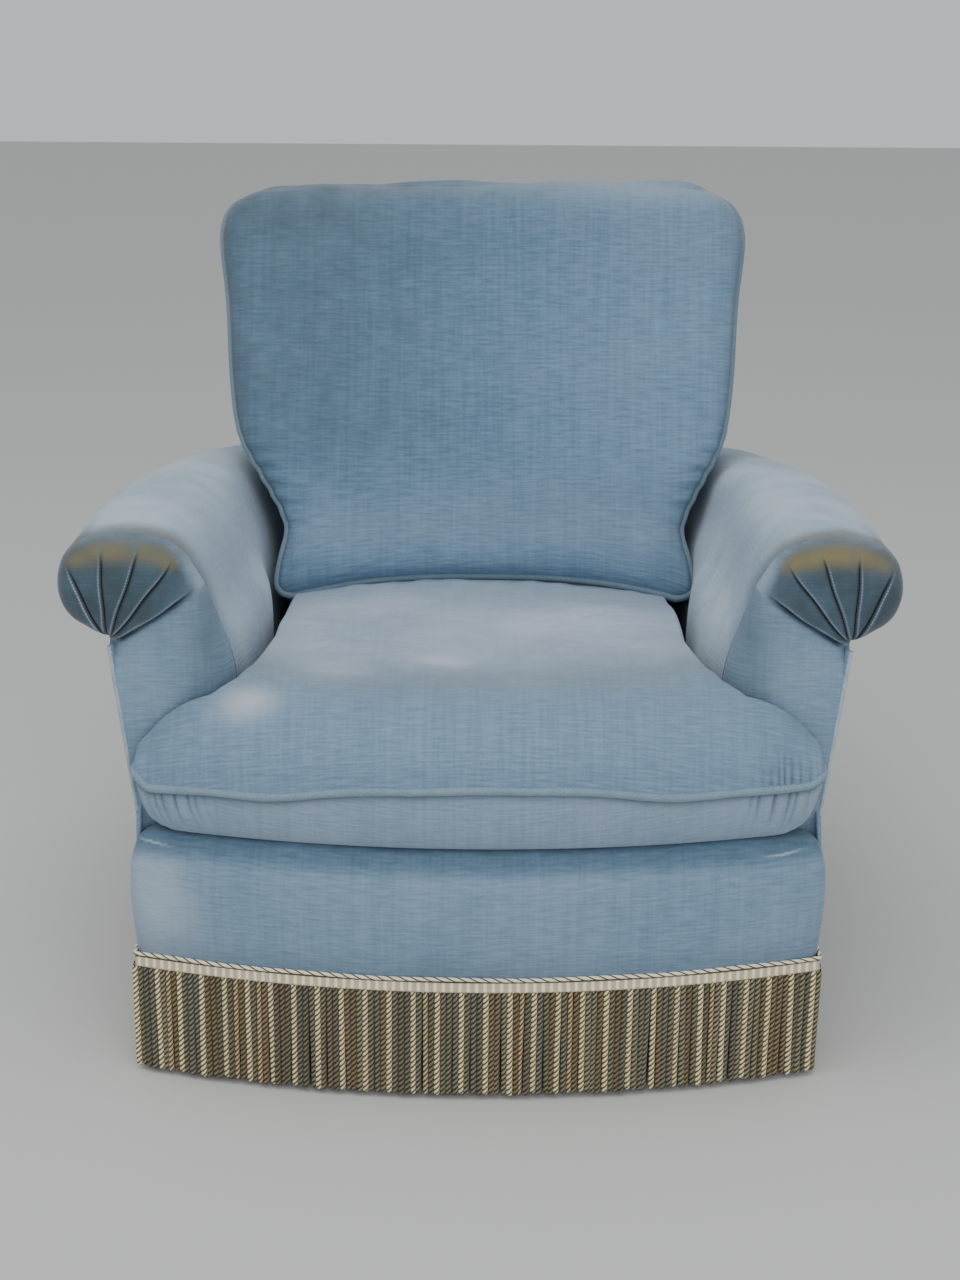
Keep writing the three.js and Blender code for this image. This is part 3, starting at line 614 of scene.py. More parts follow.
def pleated(angle, reach):
    """How far the pleats stand forward, their pale ridges, rubbed and painted as highlight, and the
    shadow painted in their creases and under the first pleat. Each pleat is a narrow ridge beside a
    deeper valley, held at the pinch and dying away where it runs out."""
    rise, ridge, crease_shadow = np.zeros((3,) + reach.shape)
    for at, length in zip(pleat_bearing, pleat_length):
        along = reach * np.cos(angle - at)
        off = reach * np.sin(angle - at) + 0.0005 * np.sin(along * 110 + at * 9)
        held = smooth((length + 0.004 - along) / 0.03) * smooth(along / 0.020)
        rise += held * 0.0022 * hump((off - 0.0016) / 0.0018)
        rise -= held * 0.0050 * hump((off + 0.0010) / 0.0013)
        rise += held * 0.0022 * np.exp(-np.maximum(off, 0) / 0.012) * (off > 0)
        stitches = 0.62 + 0.38 * np.sin(along * 1900 + at * 5)
        # pale line along the ridge: rubbed pale, and painted highlight
        ridge = np.maximum(ridge, held * stitches * hump((off - 0.0012) / 0.0009))
        # painted shadow: a dark line in the fold of each pleat
        crease_shadow = np.maximum(crease_shadow, held * hump((off + 0.0010) / 0.0011))
    # painted shadow below the first pleat, on the panel under its step
    off = reach * np.sin(angle - pleat_bearing[0])
    held = smooth((pleat_length[0] - reach) / 0.03) * smooth(reach / 0.02)
    return rise, ridge, np.maximum(crease_shadow, held * hump((off + 0.0036) / 0.0030))


def arm_face(side):
    """The front over rays from the pinch to its rim, and down to the foot: grid, cloth, wear."""
    foot = np.linspace(0.3635, ARM_INNER, 26)[:-1]
    fan = np.vstack([np.stack([foot, np.full_like(foot, SCROLL[0][1])], axis=1), section])
    share = (1 - np.linspace(0, 1, 96) ** 1.35)[:, None, None]
    flat = PINCH + (fan[None] - PINCH) * share
    x, z = flat[..., 0], flat[..., 1]
    inside = distance_to(rim[::6], x, z)
    reach = np.hypot(x - PINCH[0], z - PINCH[1])
    angle = bearing(x, z)
    scroll = smooth((angle - pleat_bearing[0] + 0.06) / 0.05)
    rise, ridge, crease_shadow = pleated(angle, reach)
    roll = edge_roll(z)
    y = ARM_FRONT + roll * (1 - quarter(inside / roll))
    y -= 0.008 * scroll * smooth(inside / 0.05) * smooth(reach / 0.03)
    y += 0.005 * hump(reach / 0.010)
    y -= rise
    y -= 0.0008 * ripple(x, z, 0.03, 5) * scroll
    # the pleated face darker away from its rim, less so near the top and on the inner side
    face_darker_off_rim = 0.97 * scroll * smooth((inside + 0.008 * smooth((x - 0.30) / 0.05)) / 0.014)
    face_darker_off_rim *= (1 - 0.35 * smooth((z - 0.585) / 0.012)) * (1 - 0.6 * smooth((0.315 - x) / 0.04))
    panel = (1 - scroll) * (0.04 + 0.42 * hump((x - 0.285) / 0.022))
    rim_band = hump((inside - 0.014) / 0.012) * smooth((z - 0.560) / 0.018)
    ridge_white = 0.75 if side > 0 else 0.85
    outer_pleat = hump((angle - pleat_bearing[4]) / 0.1)
    cheek = scroll * smooth((0.318 - x) / 0.035) * (1 - ridge)
    # pleat ridges: rubbed pale and painted highlight; creases and the band under the first pleat:
    # painted shadow
    worn = wear_and_shade_of(
        x.shape, fade_and_highlight=ridge * (ridge_white + 0.9 * outer_pleat) + 0.24 * (1 - scroll) + 0.7 * cheek,
        dirt_and_shade=face_darker_off_rim * (1 - ridge) + panel + 0.25 * cheek, stained=STAIN[side] * rim_band,
        painted_crease_shade=0.85 * crease_shadow)
    return np.stack([x, y, z], axis=-1), flat, worn


# %% The length of the arm
def arm_body(side):
    """The section carried back from the rolled edge, bulging over the seat: grid, cloth, wear."""
    x, z = section[:, 0], section[:, 1]
    start = ARM_FRONT + edge_roll(z)
    end = outside_back_y(BASE_TOP + (z - BASE_TOP) * 0.73) - 0.003
    share = np.linspace(0, 1, 70)[:, None] ** 1.15
    y = start + (end - start) * share
    behind = y - start
    body_x, body_z = drawn_in(x[None], y, z[None])
    beside_seat = smooth((z - 0.290) / 0.050) * (1 - smooth((z - 0.470) / 0.060))
    mid_length = smooth((behind + 0.010) / 0.110) * smooth((0.045 - y) / 0.130)
    body_x = body_x - PRESSED_IN * smooth((0.276 - x) / 0.014) * beside_seat * mid_length
    body = np.stack([body_x, y, body_z], axis=-1)
    lumps = 0.0016 * ripple(y, np.broadcast_to(section_length, y.shape), 0.16, 11 + side)
    body += normals_of(body) * (lumps * smooth(behind / 0.06))[..., None]
    over_top = hump((z - 0.600) / 0.045) * (x > 0.27)
    inner = smooth((0.30 - x) / 0.04) * smooth((z - 0.33) / 0.1)
    front_band = hump(behind / 0.025) * smooth((z - 0.566) / 0.018)
    outer = smooth((x - 0.40) / 0.02)
    # the inside of the arm paled: rubbed, and on the right also painted highlight
    worn = wear_and_shade_of(
        y.shape, fade_and_highlight=(0.82 * over_top + RUBBED_AND_LIT[side] * inner + 0.14) * (1 - 0.5 * hump(behind / 0.03)),
        dirt_and_shade=0.85 * outer * hump(behind / 0.08)
        + 0.62 * hump(behind / 0.026) * smooth((z - 0.5) / 0.05),
        stained=0.6 * STAIN[side] * front_band)
    return body, np.stack(np.broadcast_arrays(y, section_length[None]), axis=-1), worn


for name, side in SIDES:
    mirror = np.array([side, 1, 1])
    parts = [(grid * mirror, cloth, worn) for grid, cloth, worn in (arm_face(side), arm_body(side))]
    cover = mesh_of(f"{name}_arm_cover", parts, BLUE_VELVET)
    belongs(cover, "velvet", f"{name}_arm", f"{name}_arm_front", fill=0.85)


# %% Outside arms, with the pale folded edge down the front
ARM_FOLD_TOP = 0.4830


def arm_edge(z):
    """Half width of the outside arm: drawn in at the top of the base, out to the pinch above."""
    levels = [COVER_BOTTOM, 0.220, BASE_TOP, ARM_FOLD_TOP]
    return np.interp(z, levels, [BASE_HALF, BASE_HALF, 0.3640, 0.3850])


def outside_arm(name, side):
    """Upright beside the base, then leaning out to the scroll; taut, with a slight pull."""
    beside_base = np.linspace(COVER_BOTTOM, BASE_TOP, 14)
    height = np.concatenate([beside_base, np.linspace(BASE_TOP, ARM_FOLD_TOP, 22)[1:]])
    start = np.where(height < BASE_TOP + 0.002, -0.3640, -0.3460)
    end = outside_back_y(height * 0.9) - 0.0055
    y = start[:, None] + (end - start)[:, None] * np.linspace(0, 1, 60)[None]
    x, z = drawn_in(arm_edge(height)[:, None], y, height[:, None])
    grid = np.stack([side * x, y, z], axis=-1)
    grid[..., 0] += side * 0.0012 * ripple(y, z, 0.15, 21 + side)
    worn = wear_and_shade_of(y.shape, fade_and_highlight=0.12, dirt_and_shade=0.2 * smooth((0.3 - z) / 0.15))
    parts = slab(grid, 0.004 * side, np.stack([y, z], axis=-1), worn)
    return mesh_of(f"{name}_outside_arm_cover", parts, BLUE_VELVET)


def front_fold(name, side):
    """A stitched fold down the outer edge of the arm front, rubbed to the pale ground."""
    z = np.linspace(ARM_FOLD_TOP, 0.296, 60)
    path = np.stack([side * (arm_edge(z) + 0.0006), np.full_like(z, -0.3463), z], axis=1)
    rings, cloth = tube(path, 0.0021, np.array([0.0, -1.0, 0.0]), sides=8)
    rings += 0.0004 * np.sin(rings[..., 2:3] * 900)
    parts = [(rings, cloth, wear_and_shade_of(rings.shape[:2], fade_and_highlight=0.95))]
    return mesh_of(f"{name}_arm_fold", parts, PIPING)


for name, side in SIDES:
    belongs(outside_arm(name, side), "velvet", f"{name}_outside_arm")
    belongs(front_fold(name, side), "piping")

# %% [markdown]
# ## Base, back and deck
# The base cover follows the bowed front, rolls over a padded edge and runs in under the seat
# cushion. The back is a padded front over the posts with a taut panel behind.


# %% Base front
def base_plan(half, inset, corner, back, count):
    """Half way round the base: up one side, round the corner, along the bow, and back again."""
    bow_x = np.linspace(-1, 1, 61) * (half - corner)
    bow = np.stack([bow_x, FRONT + inset + bow_at(bow_x)], axis=1)
    corner_y = FRONT + inset + bow_at(half)
    turn = np.linspace(0, math.pi / 2, 9)[1:]
    corner_x = half - corner + corner * np.sin(turn)
    right = np.stack([corner_x, corner_y + corner * (1 - np.cos(turn)) - 0.003], axis=1)
    right = np.vstack([right, [[half, back]]])
    left = (right * [-1, 1])[::-1]
    return respaced(np.vstack([left, bow, right]), np.linspace(0, 1, count))


def base_front():
    """The cover's section, as distance in from the face and height, swept along the plan."""
    plan = base_plan(BASE_HALF, COVER_INSET, 0.014, -0.3600, 260)
    section = curve_through(
        [[0.0, COVER_BOTTOM], [-0.0035, 0.160], [-0.0065, 0.206], [-0.0050, 0.244], [-0.0005, 0.264],
         [0.006, 0.2765], [0.014, 0.2832], [0.026, 0.2855], [0.045, 0.2850], [0.066, 0.283]], 120)
    inward = -right_of(plan)
    middle = np.array([0.0, -0.20]) - plan
    middle /= np.linalg.norm(middle, axis=1, keepdims=True)
    close = np.minimum(section[:, 0], 0.012)[:, None, None]
    far = np.maximum(0, section[:, 0] - 0.012)[:, None, None]
    flat = plan[None] + inward[None] * close + middle[None] * far
    z = np.broadcast_to(section[:, 1][:, None], flat.shape[:2])
    x, y = flat[..., 0], flat[..., 1]
    z = z + 0.0010 * ripple(x, y, 0.12, 31) * smooth((z - 0.252) / 0.03)
    grid = np.stack([x, y, z], axis=-1)
    grid[..., 1] -= 0.0012 * ripple(x, z, 0.2, 32)
    # band: the top roll under the seat cushion, darkened by painted shade from the cushion above it
    band = smooth((z - 0.254) / 0.022)
    left_tear = 0.2735 + 0.003 * smooth((-x - 0.320) / 0.042) + 0.0005 * np.sin(x * 700)
    right_tear = 0.2700 + 0.003 * smooth((x - 0.315) / 0.030) + 0.0004 * np.sin(x * 800)
    threads = hump((z - left_tear) / 0.0009) * hump((x + 0.342) / 0.016)
    threads += hump((z - right_tear) / 0.0009) * hump((x - 0.322) / 0.018)
    worn = wear_and_shade_of(
        x.shape, fade_and_highlight=(0.22 + 0.45 * hump((x + 0.345) / 0.05)) * (1 - band) + 1.6 * threads,
        dirt_and_shade=0.46 * band * (1 - threads).clip(0, 1) + 0.30 * smooth((0.185 - z) / 0.04))
    length = np.linspace(0, 0.82, plan.shape[0])
    cloth = np.stack(np.broadcast_arrays(length[None], z), axis=-1)
    return mesh_of("base_front_cover", slab(grid, 0.004, cloth, worn), BLUE_VELVET)


belongs(base_front(), "velvet", "base_front", fill=0.8)


# %% Outside back, inside back and deck
def outside_back():
    """A taut panel, wide across the arm ends and narrower above them."""
    edge = np.array([
        [0.128, 0.3120], [0.294, 0.3120], [0.4398, 0.3200], [0.4449, 0.3345], [0.4616, 0.3440],
        [0.4812, 0.3460], [0.4957, 0.3435], [0.5080, 0.3355], [0.5153, 0.3220], [0.5240, 0.3130],
        [0.790, 0.3120], [0.803, 0.3060], [0.811, 0.2960], [0.8150, 0.2830]])
    rows = respaced(edge, np.linspace(0, 1, 130))
    u = np.linspace(-1, 1, 90)[None]
    x = u * rows[:, 1:2]
    z = np.broadcast_to(rows[:, 0:1], x.shape)
    inside = np.minimum((1 - np.abs(u)) * rows[:, 1:2], np.minimum(z - 0.128, 0.815 - z) + 0.002)
    y = outside_back_y(z) - 0.003 * (1 - smooth(inside / 0.012)) + 0.001 * ripple(x, z, 0.25, 41)
    grid = np.stack([x, y, z], axis=-1)
    worn = wear_and_shade_of(
        x.shape, fade_and_highlight=0.15 + 0.3 * hump((z - 0.815) / 0.03), dirt_and_shade=0.35 * smooth((0.25 - z) / 0.12))
    return mesh_of("outside_back_cover", slab(grid, -0.0045, grid[..., [0, 2]], worn), BLUE_VELVET)


def soft_copy(name, node, voxel, turns, material, worn):
    """A CAD pad made soft: its corners welded, remeshed to even squares, and smoothed."""
    mesh = frame["nodes"][node].data.copy()
    mesh.name = name
    whole = bmesh.new()
    whole.from_mesh(mesh)
    bmesh.ops.remove_doubles(whole, verts=whole.verts, dist=1e-5)
    whole.to_mesh(mesh)
    whole.free()
    made = bpy.data.objects.new(name, mesh)
    bpy.context.scene.collection.objects.link(made)
    remesh = made.modifiers.new("even squares", "REMESH")
    remesh.mode = "VOXEL"
    remesh.voxel_size = voxel
    rounding = made.modifiers.new("rounding", "SMOOTH")
    rounding.factor = 0.6
    rounding.iterations = turns
    soft = bpy.data.meshes.new_from_object(made.evaluated_get(bpy.context.evaluated_depsgraph_get()))
    made.modifiers.clear()
    made.data = soft
    points = np.empty(len(soft.vertices) * 3, dtype=np.float32)
    soft.vertices.foreach_get("co", points)
    points = points.reshape(-1, 3)
    loops = np.empty(len(soft.loops), dtype=np.int32)
    soft.loops.foreach_get("vertex_index", loops)
    add_layers(soft, points[loops][:, [0, 2]], np.tile(worn, (len(points), 1)))
    soften(soft, material)
    print(f"{name}: {len(soft.polygons)} faces")
    return made


def seat_deck():
    """The platform that the seat cushion lies on, a little hollow in the middle."""
    x, y = np.meshgrid(np.linspace(-0.256, 0.256, 40), np.linspace(-0.374, 0.200, 44))
    z = 0.2925 - 0.004 * (1 - (x / 0.256) ** 2) * smooth((0.2 - np.abs(y + 0.08)) / 0.2)
    grid = np.stack([x, np.maximum(y, FRONT + 0.0655 + bow_at(x)), z], axis=-1)
    parts = slab(grid, 0.030, grid[..., :2], wear_and_shade_of(x.shape))
    return mesh_of("seat_deck_cover", parts, CAD_MATERIALS["deck_cloth"])


belongs(outside_back(), "velvet", "outside_back")
belongs(
    soft_copy("inside_back_pad", "inside_back", 0.006, 8, BLUE_VELVET, (0.15, 0.25, 0, 0)),
    "velvet", "inside_back", fill=0.8)
belongs(seat_deck(), "deck_cloth", "seat_deck", fill=0.8)

# %% [markdown]
# ## Seat cushion
# A T-shaped cushion with a knife edge: a top and an under panel meet at one piped seam half way
# up. Its plan is rays from a point just inside the front, from which the whole T is in sight.
# The top rises as a quarter circle from the seam: slowly from the front and the ears, and in a
# few millimetres where the arms press on it.

# %% The plan of the seat cushion
EAR = 0.3665
NECK = 0.2515
SEAT_REAR = 0.2190
EAR_BACK = -0.3490
SEAT_EYE = np.array([0.0, -0.3700])
# y and z down the middle of the cushion's top
CROWN = np.array([
    [-0.44, 0.443], [-0.36, 0.448], [-0.28, 0.4515], [-0.16, 0.449], [0.0, 0.434], [0.06, 0.4285],
    [0.22, 0.412]])


def seat_plan(inset):
    """The T this far inside the seam, pressed in at the waist by the arms and rounded there."""
    corner_y = FRONT + inset + bow_at(EAR - inset) - 0.001
    half, ear = NECK - inset, EAR - inset
    waist = half - PRESSED_IN
    rear, back = SEAT_REAR - inset, EAR_BACK - inset
    bow_fine = np.linspace(0.96, -0.96, 33) * ear
    bow = [[x, FRONT + inset + bow_at(x), 0.0001] for x in bow_fine]
    return rounded(
        [[waist, rear, 0.03], [waist, -0.210, 0.05], [half, back, 0.042], [ear, back, 0.008],
         [ear, corner_y, 0.013], *bow, [-ear, corner_y, 0.013], [-ear, back, 0.008],
         [-half, back, 0.042], [-waist, -0.210, 0.05], [-waist, rear, 0.03]])


FOLDS_AT = 0.322
seam_fine = respaced(seat_plan(WELT_RADIUS * 0.9), np.linspace(0, 1, 4001))
at_folds = hump((np.abs(seam_fine[:, 0]) - FOLDS_AT) / 0.045) * (seam_fine[:, 1] < -0.36)
crowding = np.cumsum(1 + 3.5 * at_folds)
places = np.linspace(crowding[0], crowding[-1], 721)
seam = np.stack([np.interp(places, crowding, column) for column in seam_fine.T], axis=1)
print("seat seam", round(length_of(seam_fine), 3), "m")


def seam_wave(x):
    """The seam sags towards the ears, more on the left, lifts again at their tips, and waves."""
    sag = 0.0175 * smooth((-x - 0.08) / 0.17) + 0.0120 * smooth((x - 0.06) / 0.19)
    tip = smooth((np.abs(x) - 0.343) / 0.022)
    return 0.0012 * np.sin(x * 21 + 0.6) + 0.0008 * np.sin(x * 47 + 2.0) - sag * (1 - 0.85 * tip)


# %% The two panels of the seat cushion
FRONT_CURVE = 0.105
EAR_CURVE = 0.085
TUCK_CURVE = 0.014
UNDER_CURVE = 0.022
share = (1 - np.linspace(0, 1, 84) ** 1.7)[:, None, None]
plan = SEAT_EYE + (seam[None] - SEAT_EYE) * share
x, y = plan[..., 0], plan[..., 1]
from_front = np.maximum(0, y - (FRONT + 0.004 + bow_at(x)))
from_ear = np.maximum(0, EAR - 0.004 - np.abs(x))
from_seam = distance_to(seam_fine[::14], x, y)
tucked = np.array([
    [NECK - PRESSED_IN, SEAT_REAR], [NECK - PRESSED_IN, -0.210], [NECK - 0.001, EAR_BACK + 0.030],
    [NECK + 0.010, EAR_BACK + 0.011], [NECK + 0.030, EAR_BACK], [EAR, EAR_BACK]])
from_tuck = np.minimum(distance_to(tucked, x, y), distance_to(tucked * [-1, 1], x, y))
from_tuck = np.minimum(from_tuck, np.abs(SEAT_REAR - y) + 0.003)
crown = np.interp(y, CROWN[:, 0], CROWN[:, 1])
crown = crown - 0.019 * (np.abs(x) / 0.25) ** 2.5 * smooth((y + 0.16) / 0.2)
crown += 0.0022 * ripple(x, y, 0.22, 51)
crown += 0.011 * hump((y + 0.345) / 0.045) * smooth((np.abs(x) - 0.18) / 0.08)
base_z = WELT_Z + seam_wave(x) * hump(from_seam / 0.05)
lift = quarter(from_front / FRONT_CURVE) ** 0.92 * quarter(from_ear / EAR_CURVE) ** 0.85
lift *= quarter(from_tuck / TUCK_CURVE + 0.02)
edge_lift = quarter(from_seam / 0.004)
top = np.stack([x, y, base_z + (crown - base_z) * lift * edge_lift], axis=-1)
under_lift = quarter(from_seam / UNDER_CURVE) * quarter(from_ear / 0.050 + 0.01) ** 0.8
under_z = 0.2955 - 0.0090 * (1 - smooth((from_front - 0.030) / 0.028))
under = np.stack([x, y, base_z - (base_z - under_z) * under_lift], axis=-1)


def gathers(centre, spread, pitch, slant, seed):
    """Folds across the front seam near this x, of this pitch, leaning by slant away from the seam.
    Sharp valleys between round ridges: the absolute value of a sine, less its mean."""
    away = x - centre + slant * from_seam
    wobble = 0.6 * np.sin(away * 130 + seed) + 0.4 * np.sin(away * 310 + 2 * seed) + seed
    wave = np.abs(np.sin(math.pi * away / pitch + wobble))
    return (wave - 0.64) * hump((x - centre) / spread)


rise = top[..., 2] - base_z
fall = base_z - under[..., 2]
folds = [
    gathers(FOLDS_AT, 0.036, 0.0085, 0.2, 1.0), gathers(-FOLDS_AT, 0.036, 0.0100, 0.3, 2.0),
    gathers(-0.318, 0.034, 0.0110, -1.2, 3.0), gathers(0.312, 0.036, 0.0130, 0.9, 4.0)]
at_front = y < -0.36
fold_top = (0.0044 * folds[0] + 0.0008 * folds[1]) * at_front
fold_top *= smooth(rise / 0.006) * hump(rise / 0.030)
fold_under = (0.0054 * folds[2] + 0.0064 * folds[3]) * at_front
fold_under *= smooth(fall / 0.008) * hump(fall / 0.038)
top_normal = normals_towards(top, 2, 1, wrap=True)
under_normal = normals_towards(under, 2, -1, wrap=True)
wrinkle = 0.0010 * ripple(x + 0.4 * y, 3.0 * y - x, 0.07, 52) * smooth(from_seam / 0.05)
top = top + top_normal * (fold_top + wrinkle)[..., None]
under = under + under_normal * fold_under[..., None]

smears = (
    0.90 * hump(np.hypot((x + 0.240) / 0.030, (y + 0.372) / 0.014))
    + 0.75 * hump(np.hypot((x + 0.150) / 0.036, (y + 0.318) / 0.022))
    + 0.40 * hump(np.hypot((x + 0.040) / 0.034, (y + 0.285) / 0.016))
    + 0.20 * hump(np.hypot((x + 0.10) / 0.09, (y + 0.08) / 0.05))
    + 0.15 * hump(np.hypot((x - 0.10) / 0.10, (y + 0.14) / 0.06)))
flat_top = smooth((from_front - 0.02) / 0.16)
# painted shade: dark along the tuck against the arms and in the front folds' valleys; the darkening near
# the tuck is dirt and painted shade
top_wear_and_shade = wear_and_shade_of(
    x.shape, fade_and_highlight=0.52 * flat_top * (1 - 0.5 * smooth((y + 0.15) / 0.12)) + smears,
    dirt_and_shade=0.30 * hump((from_front - 0.095) / 0.06) + 0.16 * hump(from_tuck / 0.03),
    stained=0.05 * hump((from_front - 0.09) / 0.06),
    painted_crease_shade=0.35 * hump(from_tuck / 0.006) * (from_front > 0.08) + 0.30 * smooth(-fold_top / 0.0022))
# painted shadow: a dark band just under the welt and shade in the fold valleys; the panel also darkens,
# as painted shade, further in under the cushion
under_wear_and_shade = wear_and_shade_of(
    x.shape, fade_and_highlight=0.20, dirt_and_shade=0.05 + 0.35 * smooth((from_seam - 0.02) / 0.02),
    painted_crease_shade=0.80 * hump(fall / 0.0075) + 0.38 * smooth(-fold_under / 0.0032))
top_cloth = np.stack([x, y + 0.9 * (top[..., 2] - 0.366)], axis=-1)
under_cloth = np.stack([x, y - (under[..., 2] - 0.366)], axis=-1)
seat = mesh_of(
    "seat_cushion_cover", [(top, top_cloth, top_wear_and_shade), (under, under_cloth, under_wear_and_shade)], SEAT_VELVET)
belongs(seat, "worn_velvet", "seat_cushion", fill=0.75)

# %% The seam's piping
welt_plan = respaced(seat_plan(WELT_RADIUS + 0.0004), np.linspace(0, 1, 721))[:-1]
welt_z = WELT_Z + seam_wave(welt_plan[:, 0])
welt_path = np.stack([welt_plan[:, 0], welt_plan[:, 1], welt_z], axis=1)
thick = WELT_RADIUS * (1 + 0.05 * np.sin(np.arange(720) * 0.21) + 0.03 * np.sin(np.arange(720) * 0.57))
rings, ring_cloth = tube(welt_path, thick, np.array([0.0, 0.0, 1.0]), sides=10, closed=True)
ring_wear = wear_and_shade_of(rings.shape[:2], fade_and_highlight=0.24, dirt_and_shade=0.14)
welt = mesh_of("seat_piping", [(rings, ring_cloth, ring_wear)], PIPING)
belongs(welt, "piping", "seat_welt")

# %% [markdown]
# ## Back cushion
# Rows climb the cushion from the piped seam at its foot, up the full front and over the top.
# Each row gives the half width, the seam's place at the side, the crown of the front and the
# flat of the rear. Across a row the front swells from the seam as a quarter circle.

# %% The rows of the back cushion
BACK_ROWS = np.array([
    # half    seam y  seam z   front y front z  rear y  rear z
    [0.2330, 0.0600, 0.4330, 0.0596, 0.4334, 0.0610, 0.4330],
    [0.2430, 0.0600, 0.4350, 0.0540, 0.4375, 0.1300, 0.4260],
    [0.2500, 0.0605, 0.4390, 0.0495, 0.4440, 0.2000, 0.4200],
    [0.2540, 0.0640, 0.4480, 0.0470, 0.4540, 0.2450, 0.4260],
    [0.2500, 0.0730, 0.4680, 0.0500, 0.4740, 0.2600, 0.4560],
    [0.2420, 0.0870, 0.4940, 0.0620, 0.5010, 0.2700, 0.4900],
    [0.2500, 0.0970, 0.5140, 0.0720, 0.5220, 0.2760, 0.5130],
    [0.2660, 0.1090, 0.5370, 0.0840, 0.5460, 0.2830, 0.5370],
    [0.2920, 0.1300, 0.5760, 0.1050, 0.5860, 0.2950, 0.5780],
    [0.3030, 0.1480, 0.6060, 0.1230, 0.6180, 0.3040, 0.6060],
    [0.3110, 0.1780, 0.6600, 0.1500, 0.6700, 0.3200, 0.6600],
    [0.3170, 0.2180, 0.7400, 0.1880, 0.7500, 0.3430, 0.7400],
    [0.3250, 0.2450, 0.8020, 0.2110, 0.8060, 0.3620, 0.8060],
    [0.3250, 0.2620, 0.8300, 0.2250, 0.8350, 0.3720, 0.8300],
    [0.3180, 0.2850, 0.8480, 0.2440, 0.8590, 0.3840, 0.8440],
    [0.3040, 0.3120, 0.8570, 0.2680, 0.8745, 0.3880, 0.8520],
    [0.2850, 0.3380, 0.8600, 0.3060, 0.8790, 0.3860, 0.8560],
    [0.2700, 0.3580, 0.8590, 0.3420, 0.8715, 0.3790, 0.8575],
    [0.2600, 0.3700, 0.8575, 0.3695, 0.8580, 0.3705, 0.8570],
])
rows = curve_through(BACK_ROWS, 190)
near_foot = 1 - smooth((rows[:, 2:3] - 0.43) / 0.20)
half = rows[:, 0:1]
u = np.sin(np.linspace(-1, 1, 171) * math.pi / 2)[None]
u = np.sign(u) * np.abs(u) ** 0.9
x = u * half + 0.006 * near_foot
from_side = (1 - np.abs(u)) * half
climb = np.concatenate([[0], np.cumsum(np.linalg.norm(np.diff(rows[:, 3:5], axis=0), axis=1))])[:, None]
swell = quarter(from_side / 0.045) ** 0.9
seam_side = rows[:, None, 1:3]
front = seam_side + (rows[:, None, 3:5] - seam_side) * swell[..., None]
rear = seam_side + (rows[:, None, 5:7] - seam_side) * quarter(from_side / 0.035)[..., None]
corner_drop = near_foot**3 * np.abs(u) ** 2.6
drop = np.stack([-0.026 * corner_drop, -0.020 * corner_drop], axis=-1)
front = np.concatenate([x[..., None], front + drop], axis=-1)
rear = np.concatenate([x[..., None], rear + drop], axis=-1)

# %% Its unevenness, wear and piping
up_share = climb / climb[-1]
inner_part = smooth(from_side / 0.03) * smooth(climb / 0.03) * smooth((climb[-1] - climb) / 0.05)
uneven = 0.0030 * ripple(x, climb + 0 * x, 0.25, 61) + 0.0010 * ripple(x, climb + 0 * x, 0.08, 62)
pull = 0.0016 * np.sin(2 * math.pi * climb / 0.021 + 14 * from_side) * hump((from_side - 0.014) / 0.016)
pull = pull * hump((up_share - 0.22) / 0.10)
front = front + normals_towards(front, 1, -1) * (uneven * inner_part + pull)[..., None]
slump = smooth((up_share - 0.72) / 0.2) * (0.0065 * smooth(-x / 0.30) - 0.0015 * hump((x - 0.18) / 0.08))
front[..., 2] -= slump
rear[..., 2] -= slump
lower_part = smooth((0.36 - up_share) / 0.25)
top_edge = hump((front[..., 2] - 0.882) / 0.018)
# painted shade: darker in a narrow band along the side seams of the front
back_wear_and_shade = wear_and_shade_of(
    x.shape,
    fade_and_highlight=0.02 + 0.30 * top_edge + 0.08 * smooth(x / 0.25) + 0.12 * hump((up_share - 0.12) / 0.08),
    dirt_and_shade=0.50 * smooth(0.45 - x / 0.50) * (1 - lower_part) + 0.14 * smooth((up_share - 0.6) / 0.2)
    + 0.12 * lower_part + 0.10 * hump(from_side / 0.02) + 0.06,
    painted_crease_shade=0.5 * hump(from_side / 0.004))
front_cloth = np.stack(np.broadcast_arrays(x, climb), axis=-1)
rear_wear = wear_and_shade_of(x.shape, fade_and_highlight=0.05, dirt_and_shade=0.25)
back = mesh_of(
    "back_cushion_cover", [(front, front_cloth, back_wear_and_shade), (rear, front_cloth, rear_wear)], BLUE_VELVET)
belongs(back, "velvet", "back_cushion", fill=0.8)

side_line = front[:, -1]
across = np.linspace(1, -1, 80)[1:-1, None]
top_line = np.concatenate([across * side_line[-1, :1], np.tile(side_line[-1, 1:], (78, 1))], axis=1)
foot_line = front[0, 4:-4:2]
loop = np.vstack([side_line, top_line, front[::-1, 0], foot_line])
loop[:, 1] -= 0.0015
loop = respaced(np.vstack([loop, loop[:1]]), np.linspace(0, 1, 701))[:-1]
rings, ring_cloth = tube(loop, WELT_RADIUS, np.array([0.0, -0.94, 0.34]), sides=10, closed=True)
ring_wear = wear_and_shade_of(rings.shape[:2], fade_and_highlight=0.12, dirt_and_shade=0.35)
piping = mesh_of("back_piping", [(rings, ring_cloth, ring_wear)], PIPING)
belongs(piping, "piping", "back_welt")

# %% [markdown]
# ## Bullion fringe
# A two-tone cord, a woven ladder heading and about 450 twisted cords hang from the foot of the
# cover, right round the chair. Every fourth cord is cream and the rest are dark olive,
# grey-green and brown, a few of them tan.


